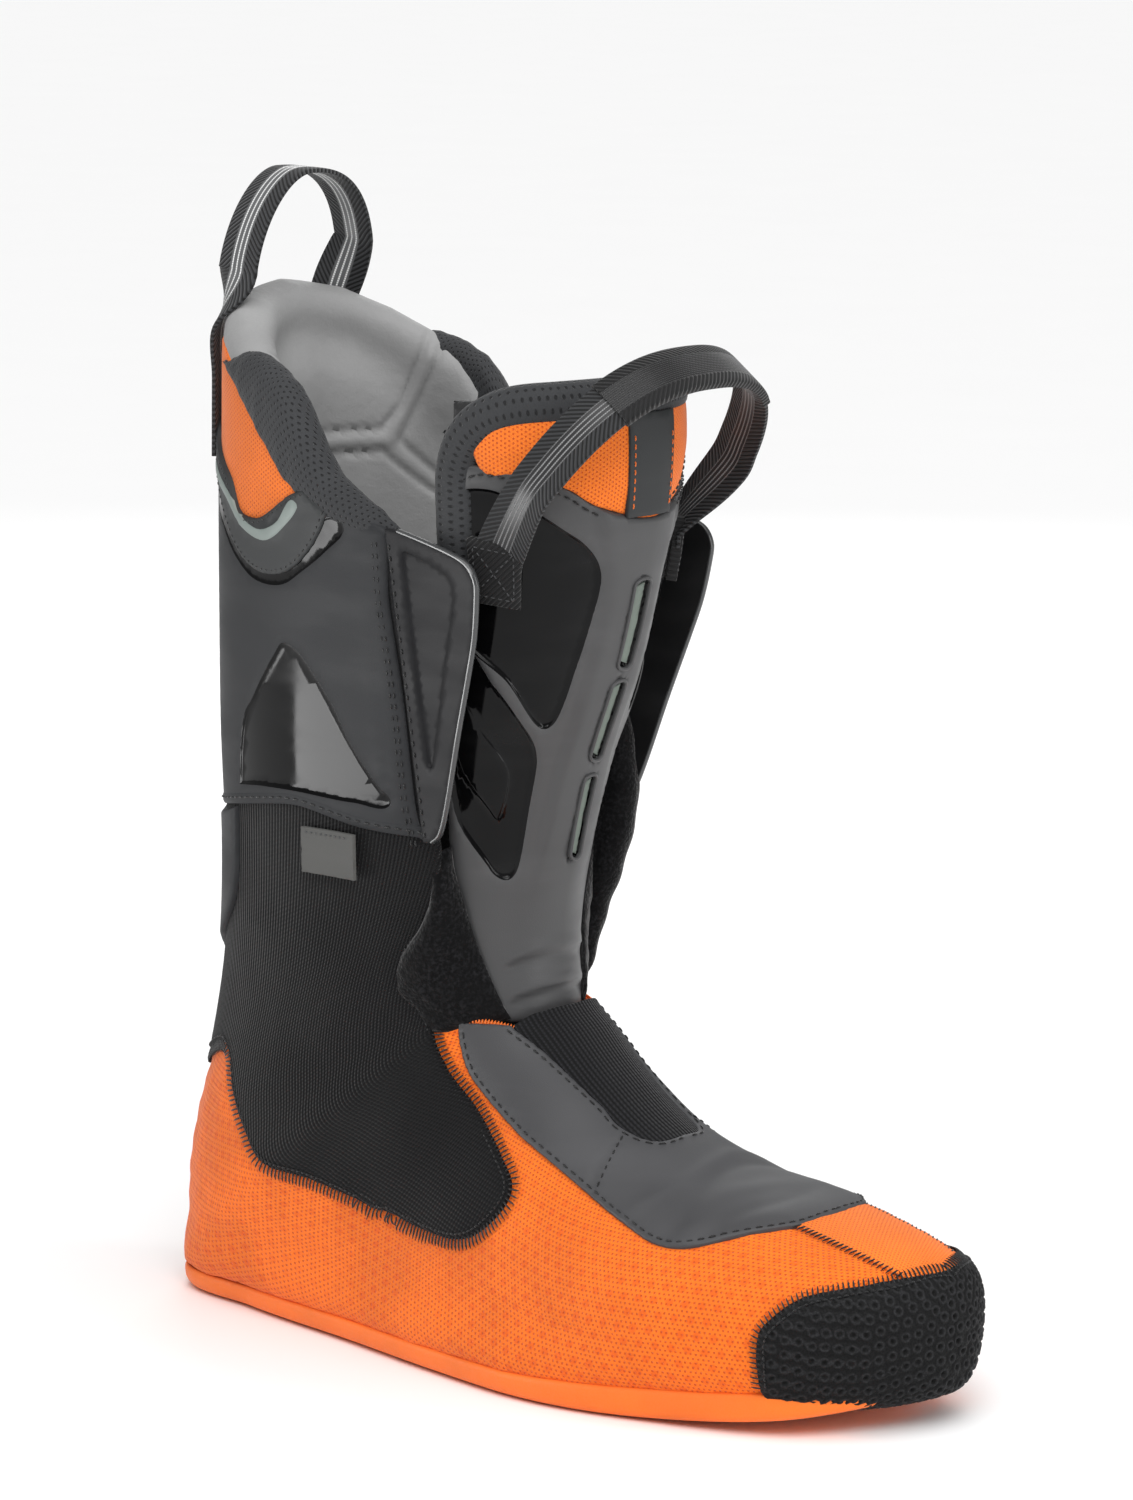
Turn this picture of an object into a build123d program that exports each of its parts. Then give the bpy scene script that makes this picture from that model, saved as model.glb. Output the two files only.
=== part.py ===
from build123d import *
from math import atan2, ceil, copysign, cos, degrees, hypot, radians, sin
import os

# Removable inner boot (liner) of an alpine ski boot, right foot, size 27 mondo.
# Millimetres. +X points to the toe, +Y to the wearer's left (the inner side of the leg),
# +Z up. The origin lies on the flat underside of the sole, under the lower leg.
#
# The boot is described by a fan of flat stations, from the toe tip, over the foot and up the
# cuff. Each station runs from a front point (instep or shin) to a back point (sole or calf),
# and its outline is a super-ellipse. Most pieces are walls that follow these outlines: a wall
# covers a span of stations, and at each station a span of angle round the boot. Angle 0 is
# the front, 90 the side and 180 the back. Positive angles are on the outer side of the leg.

# ---- driving dimensions -------------------------------------------------------------------
SKIN = 1.4              # outer fabric, knit and moulded panels
LAYER_GAP = 0.5         # glue line between neighbouring layers
LINING = 1.2            # fleece lining
LINING_GAP = 0.9        # between the foam and the lining
COUNTER = 1.6           # stiff heel shell
EDGE_GAP = 0.35         # half the seam between neighbouring panels, degrees
ANGLE_STEP = 12         # spacing of the points along an outline, degrees

EDGE_TURN = 14          # most that a wall's edge turns between two sections, degrees

SOLE_THICKNESS = 8.6
SOLE_LENGTH_HEEL = -141
BOARD_THICKNESS = 1.4
FOOTBED_THICKNESS = 4.0

WING_THICKNESS = 2.0
WING_GAP = 0.5          # between a wing and the edge of its cuff panel

TONGUE_POWER = 2.3
TONGUE_WALL = 9.0
SHIELD = 1.4
TONGUE_BASE_Z = 105.6
TONGUE_FOAM_TOP_Z = 297
SHIELD_TOP_Z = 262
TONGUE_TOP_Z = 301.5
TONGUE_EDGE = 84        # angle of the tongue's side edges

WEBBING_WIDTH = 20
WEBBING = 1.8

os.makedirs("parts", exist_ok=True)

# ---- stations: front x, z; back x, z; centre y; half widths outer, inner side; place of the
# ---- widest line (share of the station); outline powers front, back; wall thickness
STATIONS = [
    (148, 33, 147.6, 27, 10, 3, 3, 0.50, 2.0, 2.0, 1),
    (147, 39.5, 145.8, 21, 10, 10, 9, 0.50, 2.1, 2.2, 5),
    (142.5, 46, 140.5, 18.6, 9.5, 20.5, 18, 0.50, 2.2, 2.4, 5),
    (133.5, 50.5, 130.5, 16.2, 7.5, 31, 28, 0.55, 2.3, 3.0, 5),
    (119, 55.5, 117, 13.8, 5, 40, 36, 0.60, 2.3, 3.6, 5),
    (98, 60.5, 95, 11.2, 3, 47, 43, 0.64, 2.3, 4.0, 5),
    (71, 66, 62, 9.2, 0, 51, 43, 0.66, 2.2, 4.5, 5.2),
    (48.5, 76, 25, 9.0, -2, 48, 38, 0.68, 2.2, 4.5, 5.6),
    (30, 90, -15, 9.0, -3, 43, 36, 0.66, 2.3, 4.5, 6.4),
    (16, 102, -60, 9.0, -2, 38, 36, 0.62, 2.4, 4.2, 7.4),
    (8, 111, -105, 9.0, -2, 37, 36, 0.55, 2.4, 3.2, 8.4),
    (4, 120, -135, 12.5, -1, 38, 37, 0.50, 2.3, 2.5, 8.4),
    (3, 131, -143, 30, 0, 40, 39, 0.47, 2.3, 2.2, 8.4),
    (4, 143, -139, 54, 0, 41, 40, 0.45, 2.3, 2.1, 8.4),
    (7, 156, -130, 80, 0, 42, 41, 0.45, 2.3, 2.1, 8.4),
    (11, 170, -122, 112, 0, 43.5, 43, 0.46, 2.3, 2.2, 8.4),
    (17, 186, -118.5, 146, 0, 45, 45, 0.48, 2.3, 2.3, 8.4),
    (25, 208, -118, 184, 0, 47, 47, 0.50, 2.3, 2.4, 8.4),
    (33, 236, -117.5, 226, 0, 49, 49, 0.50, 2.3, 2.4, 8.4),
    (38, 264, -117, 266, 0, 50, 50, 0.50, 2.3, 2.4, 8.4),
    (41, 292, -116, 300, 0, 51, 51, 0.50, 2.3, 2.4, 8.4),
    (43, 315, -115, 328, 0, 51, 51, 0.50, 2.3, 2.4, 8.4),
]

# ---- tongue levels: z; front x; half width; depth from front to side edges
TONGUE_LEVELS = [
    (TONGUE_BASE_Z, 4, 31, 23),
    (128, 4.5, 33, 25),
    (152, 7, 35, 27),
    (184, 15, 39, 31),
    (214, 26, 42.5, 36),
    (240, 33.5, 45, 41),
    (262, 37.5, 47, 45),
    (282, 39, 48, 47),
    (TONGUE_TOP_Z, 38, 47.5, 46),
]


def between(rows, place):
    """The row at a fractional place in a list of rows."""
    low = min(int(place), len(rows) - 2)
    share = place - low
    return [a + (b - a) * share for a, b in zip(rows[low], rows[low + 1])]


def span_at(spans, place):
    """Start and end angle at a station, from rows of (station, start, end)."""
    for (v0, a0, b0), (v1, a1, b1) in zip(spans, spans[1:]):
        if v0 <= place <= v1:
            share = (place - v0) / (v1 - v0)
            return a0 + (a1 - a0) * share, b0 + (b1 - b0) * share
    raise ValueError("station outside the spans")


def angles(start, end):
    """Evenly spaced angles from start to end, in degrees."""
    count = max(2, ceil(abs(end - start) / ANGLE_STEP))
    return [start + (end - start) * k / count for k in range(count + 1)]


def super_arc(angle, power):
    """Signed cosine and sine of an angle, bent to the given super-ellipse power."""
    c = round(cos(radians(angle)), 9)
    s = round(sin(radians(angle)), 9)
    return copysign(abs(c) ** (2 / power), c), copysign(abs(s) ** (2 / power), s)


def outline_point(row, angle, inset):
    """A point of a station's outline, moved in by inset, in the station's own plane."""
    fx, fz, bx, bz, centre, outer, inner, widest, power_front, power_back, _ = row
    length = hypot(bx - fx, bz - fz)
    front = cos(radians(angle)) > 0
    c, s = super_arc(angle, power_front if front else power_back)
    half = (widest if front else 1 - widest) * length - inset
    width = (outer if s > 0 else inner) - inset
    return widest * length - c * half, s * width - centre


def station_plane(row):
    """The station's plane: x runs from front to back, y to the outer side of the leg."""
    fx, fz, bx, bz = row[:4]
    along = Vector(bx - fx, 0, bz - fz)
    return Plane(origin=(fx, 0, fz), x_dir=along, z_dir=along.cross(Vector(0, -1, 0)))


def closed_face(plane, outside, inside):
    """A face between an outer and an inner curve that run the same way."""
    with BuildSketch(plane) as section:
        with BuildLine():
            Spline(*outside)
            Line(outside[-1], inside[-1])
            Spline(*inside)
            Line(inside[0], outside[0])
        make_face()
    return section.sketch


def wall_places(spans):
    """Stations to cut a wall at: its own, the main ones, and more where its edges turn fast."""
    places = {float(v) for v in range(ceil(spans[0][0]), int(spans[-1][0]) + 1)}
    for (v0, a0, b0), (v1, a1, b1) in zip(spans, spans[1:]):
        count = max(1, ceil(max(abs(a1 - a0), abs(b1 - b0)) / EDGE_TURN))
        places |= {round(v0 + (v1 - v0) * k / count, 6) for k in range(count + 1)}
    return sorted(places)


def wall_sections(spans, side, outset, inset):
    """Sections of a wall. outset and inset are depths below the outline, or a function of
    station row and angle. side is 1 on the outer side of the leg and -1 on the inner."""
    sections = []
    for place in wall_places(spans):
        row = between(STATIONS, place)
        start, end = span_at(spans, place)
        around = angles(start + EDGE_GAP, end - EDGE_GAP)
        outside = [outline_point(row, side * a, outset(row, a)) for a in around]
        inside = [outline_point(row, side * a, inset(row, a)) for a in around]
        sections.append(closed_face(station_plane(row), outside, inside))
    return sections


def constant(depth):
    return lambda row, angle: depth


def foam_depth(row, angle):
    return row[-1]


def lining_top(row, angle):
    return row[-1] + LINING_GAP


def lining_bottom(row, angle):
    return row[-1] + LINING_GAP + LINING


def calf_depth(row, angle):
    """The calf foam thickens towards the middle of the back."""
    share = min(1, max(0, (180 - abs(180 - angle) - CALF_EDGE) / CALF_BLEND))
    return row[-1] + CALF_EXTRA * share * share * (3 - 2 * share)


def ring_face(row, inset):
    """A whole station outline, in two halves that meet at the front and the back."""
    outer_half = [outline_point(row, a, inset) for a in angles(0, 180)]
    inner_half = [outline_point(row, a, inset) for a in angles(180, 360)]
    inner_half[0], inner_half[-1] = outer_half[-1], outer_half[0]
    with BuildSketch(station_plane(row)) as section:
        with BuildLine():
            Spline(*outer_half, tangents=((0, 1), (0, -1)))
            Spline(*inner_half, tangents=((0, -1), (0, 1)))
        make_face()
    return section.sketch


def ring_stack(first, last, inset):
    """Whole outlines from one station to another."""
    places = sorted({first, last} | {float(v) for v in range(ceil(first), int(last) + 1)})
    return [ring_face(between(STATIONS, place), inset) for place in places]


def tongue_level(z):
    """Front x, half width and depth of the tongue at a height."""
    heights = [row[0] for row in TONGUE_LEVELS]
    low = max(k for k in range(len(heights) - 1) if heights[k] <= z + 1e-6)
    share = (z - heights[low]) / (heights[low + 1] - heights[low])
    return between(TONGUE_LEVELS, low + share)[1:]


def tongue_point(z, angle, outset):
    """A point of the tongue's outline at a height, moved out by outset."""
    front, half_width, depth = tongue_level(z)
    c, s = super_arc(angle, TONGUE_POWER)
    return front - depth + c * (depth + outset), -s * (half_width + outset)


def tongue_sections(z0, z1, start, end, outset, inset):
    """Sections of a wall of the tongue between two heights and two angles."""
    levels = sorted({z0, z1} | {row[0] for row in TONGUE_LEVELS if z0 < row[0] < z1})
    sections = []
    for z in levels:
        outside = [tongue_point(z, a, outset) for a in angles(start, end)]
        inside = [tongue_point(z, a, inset) for a in angles(start, end)]
        sections.append(closed_face(Plane.XY.offset(z), outside, inside))
    return sections


def save(built, name):
    """Names a finished piece and writes it."""
    built.part.label = name
    export_step(built.part, f"parts/{name}.step")


SIDES = (("lateral", 1), ("medial", -1))

# ---- panel spans: (station, start angle, end angle) ---------------------------------------
CALF_EDGE = 112
CALF_BLEND = 50
CALF_EXTRA = 12.5
BOARD_EDGE = 148
TOE_CAP_END = 4.4
VAMP_START = 4.7
THROAT = 9.9
ANKLE_START = 7.8
REAR_EDGE = 165

TOE_CAP_SIDE = [(2.03, 1, BOARD_EDGE), (2.6, 33, BOARD_EDGE), (3.4, 52, BOARD_EDGE),
                (3.9, 62, BOARD_EDGE), (TOE_CAP_END, 86, BOARD_EDGE)]
TOE_TOP = [(2.1, 0, 3), (2.6, 0, 32), (3.4, 0, 50), (3.9, 0, 60), (4.4, 0, 40), (4.66, 0, 19)]
VAMP_FRONT = [(VAMP_START, 0, 19), (5.3, 0, 42), (5.6, 0, 50), (6.9, 0, 47)]
VAMP_ARM = [(6.94, 11.5, 47), (7.3, 18, 46), (8.6, 22, 50), (THROAT, 28, 45)]
GORE = [(6.92, 0, 11), (7.3, 0, 18), (8.6, 0, 22), (9.65, 0, 27)]
QUARTER_FRONT = [(4.42, 62, BOARD_EDGE), (5.3, 43, BOARD_EDGE), (5.6, 51, BOARD_EDGE),
                 (6.9, 48, BOARD_EDGE), (ANKLE_START, 49, BOARD_EDGE)]
QUARTER_STRIP = [(7.84, 49, 61), (8.6, 51, 57), (THROAT, 46, 54)]
QUARTER_HEEL = [(7.84, 77, BOARD_EDGE), (8.4, 88, BOARD_EDGE), (10, 92, BOARD_EDGE),
                (10.8, 98, 180), (11.6, 106, 180), (12.6, 116.5, 180), (13.54, 128, 180)]
ANKLE_PANEL = [(7.84, 63, 75), (8.4, 59, 87), (THROAT, 55, 91), (10.8, 56, 97), (11.6, 57, 105),
               (12.6, 62, 114.5), (13.6, 57, 126), (13.7, 57, 180), (15.26, 61, 180), (15.8, 83, 180),
               (16.2, 100, 180), (16.28, 160, 180)]
CUFF_PANEL = [(15.34, 61.5, 64), (15.8, 64, 82), (16.2, 66, 99), (16.32, 66, REAR_EDGE),
              (17.2, 72, REAR_EDGE), (18.1, 78, REAR_EDGE), (18.28, 79, REAR_EDGE)]
CUFF_CORNER = [(18.3, 79, 97), (18.5, 80, 93), (18.66, 80, 91)]
COLLAR_PATCH = [(18.3, 98, REAR_EDGE), (18.5, 94, REAR_EDGE), (18.68, 92, REAR_EDGE)]
COLLAR_MESH = [(18.72, 106, 180), (18.9, 108, 180), (19.2, 114, 180), (19.5, 122, 180),
               (19.8, 128, 180), (20.0, 136, 180), (20.2, 147, 180)]
COLLAR_BINDING = [(18.7, 81, 91), (18.8, 82, 97), (18.9, 88, 105), (19.2, 95, 113),
                  (19.5, 100, 121), (19.8, 105, 127), (20.0, 113, 135), (20.1, 123, 139)]
FOREFOOT = [(4.5, 0, 180), (8.9, 0, 180), (9.3, 26, 180), (THROAT, 44, 180)]
ANKLE_FOAM = [(9.94, 58, 118), (11.1, 60, 118), (12.5, 66, 118), (13.6, 67, 118)]
HEEL_POCKET = [(9.94, 120, 240), (13.6, 120, 240)]
CUFF_FOAM_LOW = [(13.64, 67, 180), (15.0, 68, 180), (16.4, 71, 180)]
CUFF_FOAM_HIGH = [(16.44, 71, CALF_EDGE - 1), (18.66, 81, CALF_EDGE - 1), (19.2, 95, CALF_EDGE - 1),
                  (19.8, 107, CALF_EDGE - 1)]
CALF_FOAM = [(16.44, CALF_EDGE, 248), (19.95, CALF_EDGE, 248), (20.1, 123, 237), (20.3, 138, 222),
             (20.7, 156, 204)]
LINING_FOOT = [(3.0, 0, 138), (THROAT, 0, 138)]
LINING_CUFF = [(10.7, 60, 180), (12.5, 66, 180), (13.6, 68, 180), (15.0, 68, 180),
               (16.4, 71, 180)]

# ---- sole: a moulded foam shell base, flat under the foot and lifted at the toe -------------
with BuildPart() as sole:
    with BuildSketch(Plane.XY) as plan:
        with BuildLine():
            Spline((SOLE_LENGTH_HEEL, 1), (-128, 27), (-98, 34), (-50, 36), (10, 37), (62, 44),
                   (98, 42), (128, 30), (146, 10), (131, -20), (108, -37), (72, -49), (25, -47),
                   (-30, -38), (-90, -35), (-128, -24), periodic=True)
        make_face()
    extrude(amount=50)
    with BuildSketch(Plane.XZ.offset(-80)) as band:
        with BuildLine():
            Line((-160, 0), (58, 0))
            Spline((58, 0), (105, 2.6), (150, 11), tangents=((1, 0), (1, 0.28)))
            Line((150, 11), (150, 11 + SOLE_THICKNESS))
            Spline((150, 11 + SOLE_THICKNESS), (105, 2.6 + SOLE_THICKNESS), (58, SOLE_THICKNESS),
                   tangents=((-1, -0.28), (-1, 0)))
            Line((58, SOLE_THICKNESS), (-160, SOLE_THICKNESS))
            Line((-160, SOLE_THICKNESS), (-160, 0))
        make_face()
    extrude(amount=160, mode=Mode.INTERSECT)
save(sole, "sole")

BOARD = [(3.0, BOARD_EDGE, 360 - BOARD_EDGE), (9.96, BOARD_EDGE, 360 - BOARD_EDGE)]
board_sections = wall_sections(BOARD, 1, constant(0.2), constant(0.2 + BOARD_THICKNESS))
with BuildPart() as sole_board:
    loft(board_sections, ruled=True)
save(sole_board, "sole_board")

# ---- footbed: a loose insole that lies on the foam -----------------------------------------
def footbed_top(row, angle):
    return lining_top(row, angle) + FOOTBED_THICKNESS


FOOTBED = [(4.7, 150, 210), (10.6, 150, 210)]
footbed_sections = wall_sections(FOOTBED, 1, lining_top, footbed_top)
with BuildPart() as footbed:
    loft(footbed_sections, ruled=True)
save(footbed, "footbed")

# ---- foam body ------------------------------------------------------------------------------
foam_top = constant(SKIN + LAYER_GAP)
for side_name, side in SIDES:
    sections = wall_sections(FOREFOOT, side, foam_top, foam_depth)
    with BuildPart() as forefoot_foam:
        loft(sections, ruled=True)
    save(forefoot_foam, f"forefoot_foam_{side_name}")

    sections = wall_sections(ANKLE_FOAM, side, foam_top, foam_depth)
    with BuildPart() as ankle_foam:
        loft(sections, ruled=True)
    save(ankle_foam, f"ankle_foam_{side_name}")

    low_sections = wall_sections(CUFF_FOAM_LOW, side, foam_top, foam_depth)
    high_sections = wall_sections(CUFF_FOAM_HIGH, side, foam_top, foam_depth)
    with BuildPart() as cuff_foam:
        loft(low_sections, ruled=True)
        loft(high_sections, ruled=True)
    save(cuff_foam, f"cuff_foam_{side_name}")

    foot_sections = wall_sections(LINING_FOOT, side, lining_top, lining_bottom)
    cuff_sections = wall_sections(LINING_CUFF, side, lining_top, lining_bottom)
    with BuildPart() as lining:
        loft(foot_sections, ruled=True)
        loft(cuff_sections, ruled=True)
    save(lining, f"lining_{side_name}")

toe_outer = ring_stack(0.7, 4.46, SKIN + LAYER_GAP)
toe_inner = ring_stack(1.6, 4.46, 5)
with BuildPart() as toe_box_foam:
    loft(toe_outer, ruled=True)
    loft(toe_inner, ruled=True, mode=Mode.SUBTRACT)
save(toe_box_foam, "toe_box_foam")

counter_sections = wall_sections(HEEL_POCKET, 1, foam_top, constant(SKIN + LAYER_GAP + COUNTER))
with BuildPart() as heel_counter:
    loft(counter_sections, ruled=True)
save(heel_counter, "heel_counter")

heel_top = constant(SKIN + 2 * LAYER_GAP + COUNTER)
heel_sections = wall_sections(HEEL_POCKET, 1, heel_top, foam_depth)
with BuildPart() as heel_foam:
    loft(heel_sections, ruled=True)
save(heel_foam, "heel_foam")

calf_sections = wall_sections(CALF_FOAM, 1, foam_top, calf_depth)
with BuildPart() as calf_foam:
    loft(calf_sections, ruled=True)
save(calf_foam, "calf_foam")

# ---- outer skin of the foot -----------------------------------------------------------------
skin_top, skin_bottom = constant(0), constant(SKIN)
nose_outer = ring_stack(0, 2.0, 0)
nose_inner = ring_stack(0.6, 2.0, SKIN)
cap_sections = [wall_sections(TOE_CAP_SIDE, side, skin_top, skin_bottom) for _, side in SIDES]
with BuildPart() as toe_cap:
    loft(nose_outer, ruled=True)
    loft(nose_inner, ruled=True, mode=Mode.SUBTRACT)
    for sections in cap_sections:
        loft(sections, ruled=True)
save(toe_cap, "toe_cap")


def mirrored_span(spans):
    """Spans given for half of a panel that crosses the front, made whole."""
    return [(v, -end, end) for v, _, end in spans]


top_sections = wall_sections(mirrored_span(TOE_TOP), 1, skin_top, skin_bottom)
with BuildPart() as toe_top_panel:
    loft(top_sections, ruled=True)
save(toe_top_panel, "toe_top_panel")

front_sections = wall_sections(mirrored_span(VAMP_FRONT), 1, skin_top, skin_bottom)
arm_sections = [wall_sections(VAMP_ARM, side, skin_top, skin_bottom) for _, side in SIDES]
with BuildPart() as vamp_overlay:
    loft(front_sections, ruled=True)
    for sections in arm_sections:
        loft(sections, ruled=True)
save(vamp_overlay, "vamp_overlay")

gore_sections = wall_sections(mirrored_span(GORE), 1, skin_top, skin_bottom)
with BuildPart() as vamp_gore:
    loft(gore_sections, ruled=True)
save(vamp_gore, "vamp_gore")

for side_name, side in SIDES:
    quarter_parts = [wall_sections(spans, side, skin_top, skin_bottom)
                     for spans in (QUARTER_FRONT, QUARTER_STRIP, QUARTER_HEEL)]
    with BuildPart() as mesh_quarter:
        for sections in quarter_parts:
            loft(sections, ruled=True)
    save(mesh_quarter, f"mesh_quarter_{side_name}")

    sections = wall_sections(ANKLE_PANEL, side, skin_top, skin_bottom)
    with BuildPart() as ankle_panel:
        loft(sections, ruled=True)
    save(ankle_panel, f"ankle_panel_{side_name}")

    # ---- outer skin of the cuff -------------------------------------------------------------
    main_sections = wall_sections(CUFF_PANEL, side, skin_top, skin_bottom)
    corner_sections = wall_sections(CUFF_CORNER, side, skin_top, skin_bottom)
    with BuildPart() as cuff_panel:
        loft(main_sections, ruled=True)
        loft(corner_sections, ruled=True)
    save(cuff_panel, f"cuff_panel_{side_name}")

    sections = wall_sections(COLLAR_PATCH, side, skin_top, skin_bottom)
    with BuildPart() as collar_patch:
        loft(sections, ruled=True)
    save(collar_patch, f"collar_patch_{side_name}")

    sections = wall_sections(COLLAR_MESH, side, skin_top, skin_bottom)
    with BuildPart() as collar_mesh:
        loft(sections, ruled=True)
    save(collar_mesh, f"collar_mesh_{side_name}")

    sections = wall_sections(COLLAR_BINDING, side, constant(-0.6), skin_bottom)
    with BuildPart() as collar_binding:
        loft(sections, ruled=True)
    save(collar_binding, f"collar_binding_{side_name}")

REAR_PLATE = [(14.6, REAR_EDGE + 3, 357 - REAR_EDGE), (16.4, REAR_EDGE, 360 - REAR_EDGE),
              (18.68, REAR_EDGE, 360 - REAR_EDGE)]
plate_sections = wall_sections(REAR_PLATE, 1, constant(-1.2), constant(-0.2))
with BuildPart() as rear_plate:
    loft(plate_sections, ruled=True)
save(rear_plate, "rear_plate")

# ---- throat gussets: padded fleece edges beside the base of the tongue ------------------------
GUSSET_INSIDE_Y = 36.2
GUSSET_THICKNESS = 3.4
for side_name, side in SIDES:
    with BuildPart() as gusset:
        with BuildSketch(Plane.XZ.offset(side * GUSSET_INSIDE_Y)) as gusset_outline:
            with BuildLine():
                Polyline((-17, 113), (-19, 128), (-11, 152), (-3, 138), (3, 118), close=True)
            make_face()
        extrude(amount=side * GUSSET_THICKNESS)
    save(gusset, f"throat_gusset_{side_name}")

# ---- wings: moulded flaps sewn to the front edge of each cuff panel ---------------------------
# forward of the hinge and up along it
WING_OUTLINE = [(0, -2), (4, -1), (10, 6), (20, 32), (32, 63), (35, 78), (34, 84), (29, 88), (6, 95),
                (0, 95)]
WING_TOP = Vector(-22, 51.2, 257)
WING_BOTTOM = Vector(-15, 42.6, 162)
WING_SPLAY = {"lateral": 2, "medial": 13}
for side_name, side in SIDES:
    top = Vector(WING_TOP.X, -side * WING_TOP.Y, WING_TOP.Z)
    bottom = Vector(WING_BOTTOM.X, -side * WING_BOTTOM.Y, WING_BOTTOM.Z)
    hinge = top - bottom
    splay = radians(WING_SPLAY[side_name])
    forward = Vector(cos(splay), -side * sin(splay), 0)
    outward = forward.cross(hinge) * side
    start = bottom + forward * WING_GAP
    with BuildPart() as wing:
        with BuildSketch(Plane(origin=start, x_dir=hinge, z_dir=outward)) as wing_outline:
            with BuildLine():
                Polyline(*[(z, -side * x) for x, z in WING_OUTLINE], close=True)
            make_face()
        extrude(amount=WING_THICKNESS)
    save(wing, f"wing_{side_name}")

# ---- size tag: a folded label that hangs from the hem of the outer cuff panel -----------------
with BuildPart() as size_tag:
    with BuildSketch(Plane.XZ.offset(46.6)) as tag_outline:
        with Locations((-48.5, 156)):
            Rectangle(22, 15)
    extrude(amount=0.9)
save(size_tag, "size_tag")

# ---- rear pull loop ---------------------------------------------------------------------------
REAR_LOOP_X = -105
REAR_LOOP_BASE_Z = 321.5
REAR_LOOP_HALF_WIDTH = 29
REAR_LOOP_HEIGHT = 35
ARCH_POWER = 2.5
anchors = [wall_sections([(19.4, 148, 162), (20.6, 148, 162)], side, constant(-2.0), constant(-0.3))
           for _, side in SIDES]
with BuildPart() as rear_loop_anchor:
    for sections in anchors:
        loft(sections, ruled=True)
save(rear_loop_anchor, "rear_loop_anchor")


def arch_curve(half_width, height, start=0):
    """A rounded arch that rises from two legs, from an angle on one leg to the same on the other."""
    points = [super_arc(angle, ARCH_POWER) for angle in angles(start, 180 - start)]
    return [(half_width * c, height * s) for c, s in points]


def arch_face(plane, half_width, height, thickness, start=0):
    """The side view of a band of webbing bent to an arch."""
    outside = arch_curve(half_width, height, start)
    inside = arch_curve(half_width - thickness, height - thickness, start)
    return closed_face(plane, outside, inside)


rear_plane = Plane(origin=(REAR_LOOP_X - WEBBING_WIDTH / 2, 0, REAR_LOOP_BASE_Z), x_dir=(0, 1, 0),
                   z_dir=(1, 0, 0))
rear_face = arch_face(rear_plane, REAR_LOOP_HALF_WIDTH + WEBBING, REAR_LOOP_HEIGHT, WEBBING)
with BuildPart() as rear_loop:
    extrude(rear_face, amount=WEBBING_WIDTH)
save(rear_loop, "rear_loop")

# ---- tongue -------------------------------------------------------------------------------------
foam_sections = tongue_sections(TONGUE_BASE_Z, TONGUE_FOAM_TOP_Z, -TONGUE_EDGE, TONGUE_EDGE,
                                -SHIELD - LAYER_GAP, -TONGUE_WALL)
with BuildPart() as tongue_foam:
    loft(foam_sections, ruled=True)
save(tongue_foam, "tongue_foam")

lining_sections = tongue_sections(TONGUE_BASE_Z + 3, TONGUE_FOAM_TOP_Z, 4 - TONGUE_EDGE,
                                  TONGUE_EDGE - 4, -TONGUE_WALL - LAYER_GAP,
                                  -TONGUE_WALL - LAYER_GAP - LINING)
with BuildPart() as tongue_lining:
    loft(lining_sections, ruled=True)
save(tongue_lining, "tongue_lining")

shield_sections = tongue_sections(TONGUE_BASE_Z, SHIELD_TOP_Z, 1 - TONGUE_EDGE, TONGUE_EDGE - 1,
                                  0, -SHIELD)
with BuildPart() as tongue_shield:
    loft(shield_sections, ruled=True)
save(tongue_shield, "tongue_shield")

BINDING_EDGE = 64
mesh_sections = tongue_sections(SHIELD_TOP_Z + 0.3, TONGUE_FOAM_TOP_Z, -BINDING_EDGE, BINDING_EDGE,
                                0, -SHIELD)
with BuildPart() as tongue_top_mesh:
    loft(mesh_sections, ruled=True)
save(tongue_top_mesh, "tongue_top_mesh")

rim_sections = tongue_sections(TONGUE_FOAM_TOP_Z + 0.2, TONGUE_TOP_Z, -TONGUE_EDGE, TONGUE_EDGE,
                               0, -TONGUE_WALL - LAYER_GAP - LINING)
edge_sections = [tongue_sections(SHIELD_TOP_Z + 0.3, TONGUE_FOAM_TOP_Z, sign * (BINDING_EDGE + 0.5),
                                 sign * TONGUE_EDGE, 0, -SHIELD) for sign in (1, -1)]
with BuildPart() as tongue_binding:
    loft(rim_sections, ruled=True)
    for sections in edge_sections:
        loft(sections, ruled=True)
save(tongue_binding, "tongue_binding")

tab_sections = tongue_sections(SHIELD_TOP_Z + 1, 291, -9, 9, 1.2, 0.2)
with BuildPart() as tongue_tab:
    loft(tab_sections, ruled=True)
save(tongue_tab, "tongue_tab")

SLOTS = ((214, 239), (185, 211), (153, 183))
slot_sections = [tongue_sections(low, high, -3.4, 3.4, 0.9, 0.15) for low, high in SLOTS]
with BuildPart() as tongue_slot_inserts:
    for sections in slot_sections:
        loft(sections, ruled=True)
save(tongue_slot_inserts, "tongue_slot_inserts")

patch_sections = [tongue_sections(237, 254, sign * 50, sign * 72, 1.6, 0.2) for sign in (1, -1)]
with BuildPart() as tongue_loop_patches:
    for sections in patch_sections:
        loft(sections, ruled=True)
save(tongue_loop_patches, "tongue_loop_patches")

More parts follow.
